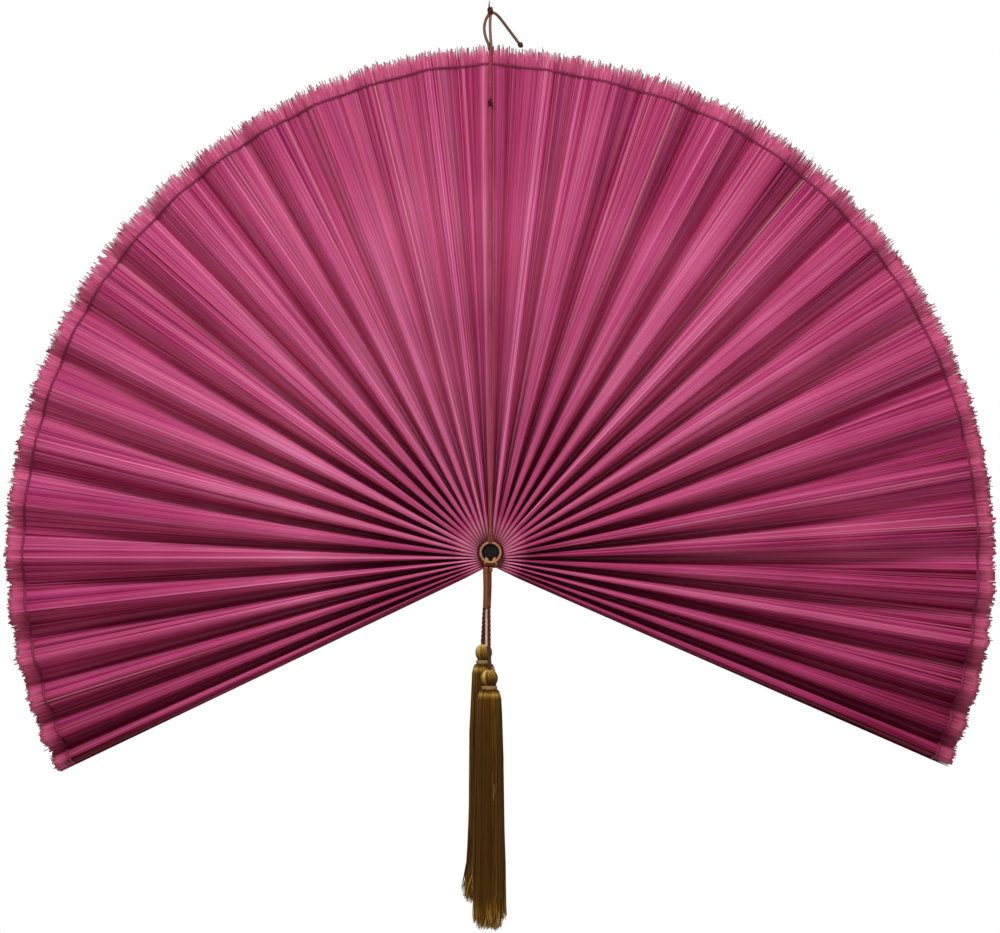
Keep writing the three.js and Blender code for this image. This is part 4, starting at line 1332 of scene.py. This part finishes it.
    def loose_thread(self, binding):
        """One pale thread that has come out on the front tassel's skirt"""
        low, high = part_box("front_tassel_skirt")
        start = Vector((0.63 * high.x + 0.37 * low.x, low.y + 0.9 * MM, high.z - 81 * MM))
        route = smooth_route([
            start + Vector(step) * MM for step in
            ((-0.9, 0.6, 2), (0, -0.2, 0), (0.5, -0.6, -4), (-0.3, -0.8, -8), (0.3, 0.2, -12))
        ], 16)
        bm = new_shape()
        lay_bar(bm, round_stations(route, 0.28 * MM, (1, 0, 0)), 6)
        make_piece("front_tassel_loose_thread", bm, [binding], "front_tassel")


# Stage


FLOOR_REACH = 1.35
FLOOR_GAP = 0.14
LAMP_AIM = (0, 0, -0.42)


class WALLFAN_OT_camera(bpy.types.Operator):
    """Sets the camera straight in front of the fan"""

    bl_idname = "wall_fan.camera"
    bl_label = "Set the camera"

    def execute(self, context):
        settings = context.scene.wall_fan_stage
        data = bpy.data.cameras.new("front_camera")
        data.lens = data.sensor_width * settings.camera_distance / settings.view_width
        camera = bpy.data.objects.new("front_camera", data)
        context.scene.collection.objects.link(camera)
        camera.location = Vector(settings.picture_centre) - Vector((0, settings.camera_distance, 0))
        camera.rotation_euler = (math.pi / 2, 0, 0)
        context.scene.camera = camera
        return {"FINISHED"}


class WALLFAN_OT_stage(bpy.types.Operator):
    """Makes the floor, the lamps and the white surroundings"""

    bl_idname = "wall_fan.stage"
    bl_label = "Make the stage"

    def execute(self, context):
        settings = context.scene.wall_fan_stage
        bm = bmesh.new()
        bmesh.ops.create_grid(bm, x_segments=1, y_segments=1, size=FLOOR_REACH)
        bmesh.ops.translate(bm, verts=bm.verts, vec=(0, 0, cad_box[0].z - FLOOR_GAP))
        mesh = bpy.data.meshes.new("floor")
        bm.to_mesh(mesh)
        bm.free()
        floor = bpy.data.objects.new("floor", mesh)
        context.scene.collection.objects.link(floor)
        mesh.materials.append(self.floor_material(settings))
        self.lamp("main_lamp", (-0.35, -1.9, 1.7), (1.5, 0.8), settings.key_power,
                  (0.98, 0.98, 1.07))
        self.lamp("fill_lamp", (1.1, -2.6, -0.2), (1.6, 1.6), settings.fill_power)
        self.lamp("back_lamp", (0.5, 2.4, 1.3), (1.6, 1.6), settings.fill_power * 4)
        self.surroundings(settings)
        context.scene.view_settings.view_transform = "Standard"
        return {"FINISHED"}

    def lamp(self, name, place, size, power, colour=(1, 1, 1)):
        data = bpy.data.lights.new(name, "AREA")
        data.shape = "RECTANGLE"
        data.size, data.size_y = size
        data.energy = power
        data.color = colour
        lamp = bpy.data.objects.new(name, data)
        bpy.context.scene.collection.objects.link(lamp)
        lamp.location = place
        aim = Vector(LAMP_AIM) - lamp.location
        lamp.rotation_euler = aim.to_track_quat("-Z", "Y").to_euler()

    def floor_material(self, settings):
        bench = NodeBench("pale_floor")
        grain = bench.noise(bench.place(), (60, 60, 60), 4.0)
        pale = settings.floor_colour
        shade = bench.ramp(grain, [(0.3, [c * 0.985 for c in pale]), (0.7, pale)])
        return bench.finish(shade, 0.8, grain, 0.0002, 0.2)

    def surroundings(self, settings):
        """The camera sees plain white, and the fan gets a weaker, warmer light from all round"""
        bench = NodeBench("white_room", "worlds")
        bench.tree.nodes.clear()
        seen = bench.add("ShaderNodeBackground", {"Strength": 1.0, "Color": (1, 1, 1, 1)})
        soft = bench.add(
            "ShaderNodeBackground", {"Strength": settings.sky_strength, "Color": (1, 0.84, 0.7, 1)},
        )
        rays = bench.add("ShaderNodeLightPath").outputs
        seen_by = rays["Is Camera Ray"]
        for ray in ("Is Glossy Ray", "Is Transmission Ray"):
            seen_by = bench.math("MAXIMUM", seen_by, rays[ray])
        mix = bench.add("ShaderNodeMixShader", {0: seen_by, 1: soft.outputs[0], 2: seen.outputs[0]})
        bench.add("ShaderNodeOutputWorld", {"Surface": mix.outputs[0]})
        bpy.context.scene.world = bench.owner


class VIEW3D_PT_wall_fan(bpy.types.Panel):
    """Lists the fan's pieces and the settings that shape them"""

    bl_label = "Wall fan"
    bl_space_type = "VIEW_3D"
    bl_region_type = "UI"
    bl_category = "Wall fan"

    def draw(self, context):
        for operator in OPERATORS:
            self.layout.operator(operator.bl_idname)
        for key in SETTINGS:
            group = getattr(context.scene, key)
            box = self.layout.box()
            for name in group.bl_rna.properties.keys():
                if name not in ("rna_type", "name"):
                    box.prop(group, name)


SETTINGS = {
    "wall_fan_leaf": WallFanLeafSettings,
    "wall_fan_hub": WallFanHubSettings,
    "wall_fan_cord": WallFanCordSettings,
    "wall_fan_tassel": WallFanTasselSettings,
    "wall_fan_stage": WallFanStageSettings,
}
OPERATORS = (
    WALLFAN_OT_camera, WALLFAN_OT_hanging_cord, WALLFAN_OT_tassel_cords, WALLFAN_OT_hitches,
    WALLFAN_OT_tassels, WALLFAN_OT_leaf, WALLFAN_OT_hub, WALLFAN_OT_stage,
)


def register():
    for key, group in SETTINGS.items():
        bpy.utils.register_class(group)
        setattr(bpy.types.Scene, key, PointerProperty(type=group))
    for operator in OPERATORS:
        bpy.utils.register_class(operator)
    bpy.utils.register_class(VIEW3D_PT_wall_fan)


def unregister():
    bpy.utils.unregister_class(VIEW3D_PT_wall_fan)
    for operator in reversed(OPERATORS):
        bpy.utils.unregister_class(operator)
    for key, group in SETTINGS.items():
        delattr(bpy.types.Scene, key)
        bpy.utils.unregister_class(group)


def main():
    register()
    bpy.ops.wall_fan.camera()
    bpy.ops.wall_fan.hanging_cord()
    bpy.ops.wall_fan.tassel_cords()
    bpy.ops.wall_fan.hitches()
    bpy.ops.wall_fan.tassels()
    bpy.ops.wall_fan.leaf()
    bpy.ops.wall_fan.hub()
    bpy.ops.wall_fan.stage()


if __name__ == "__main__":
    main()
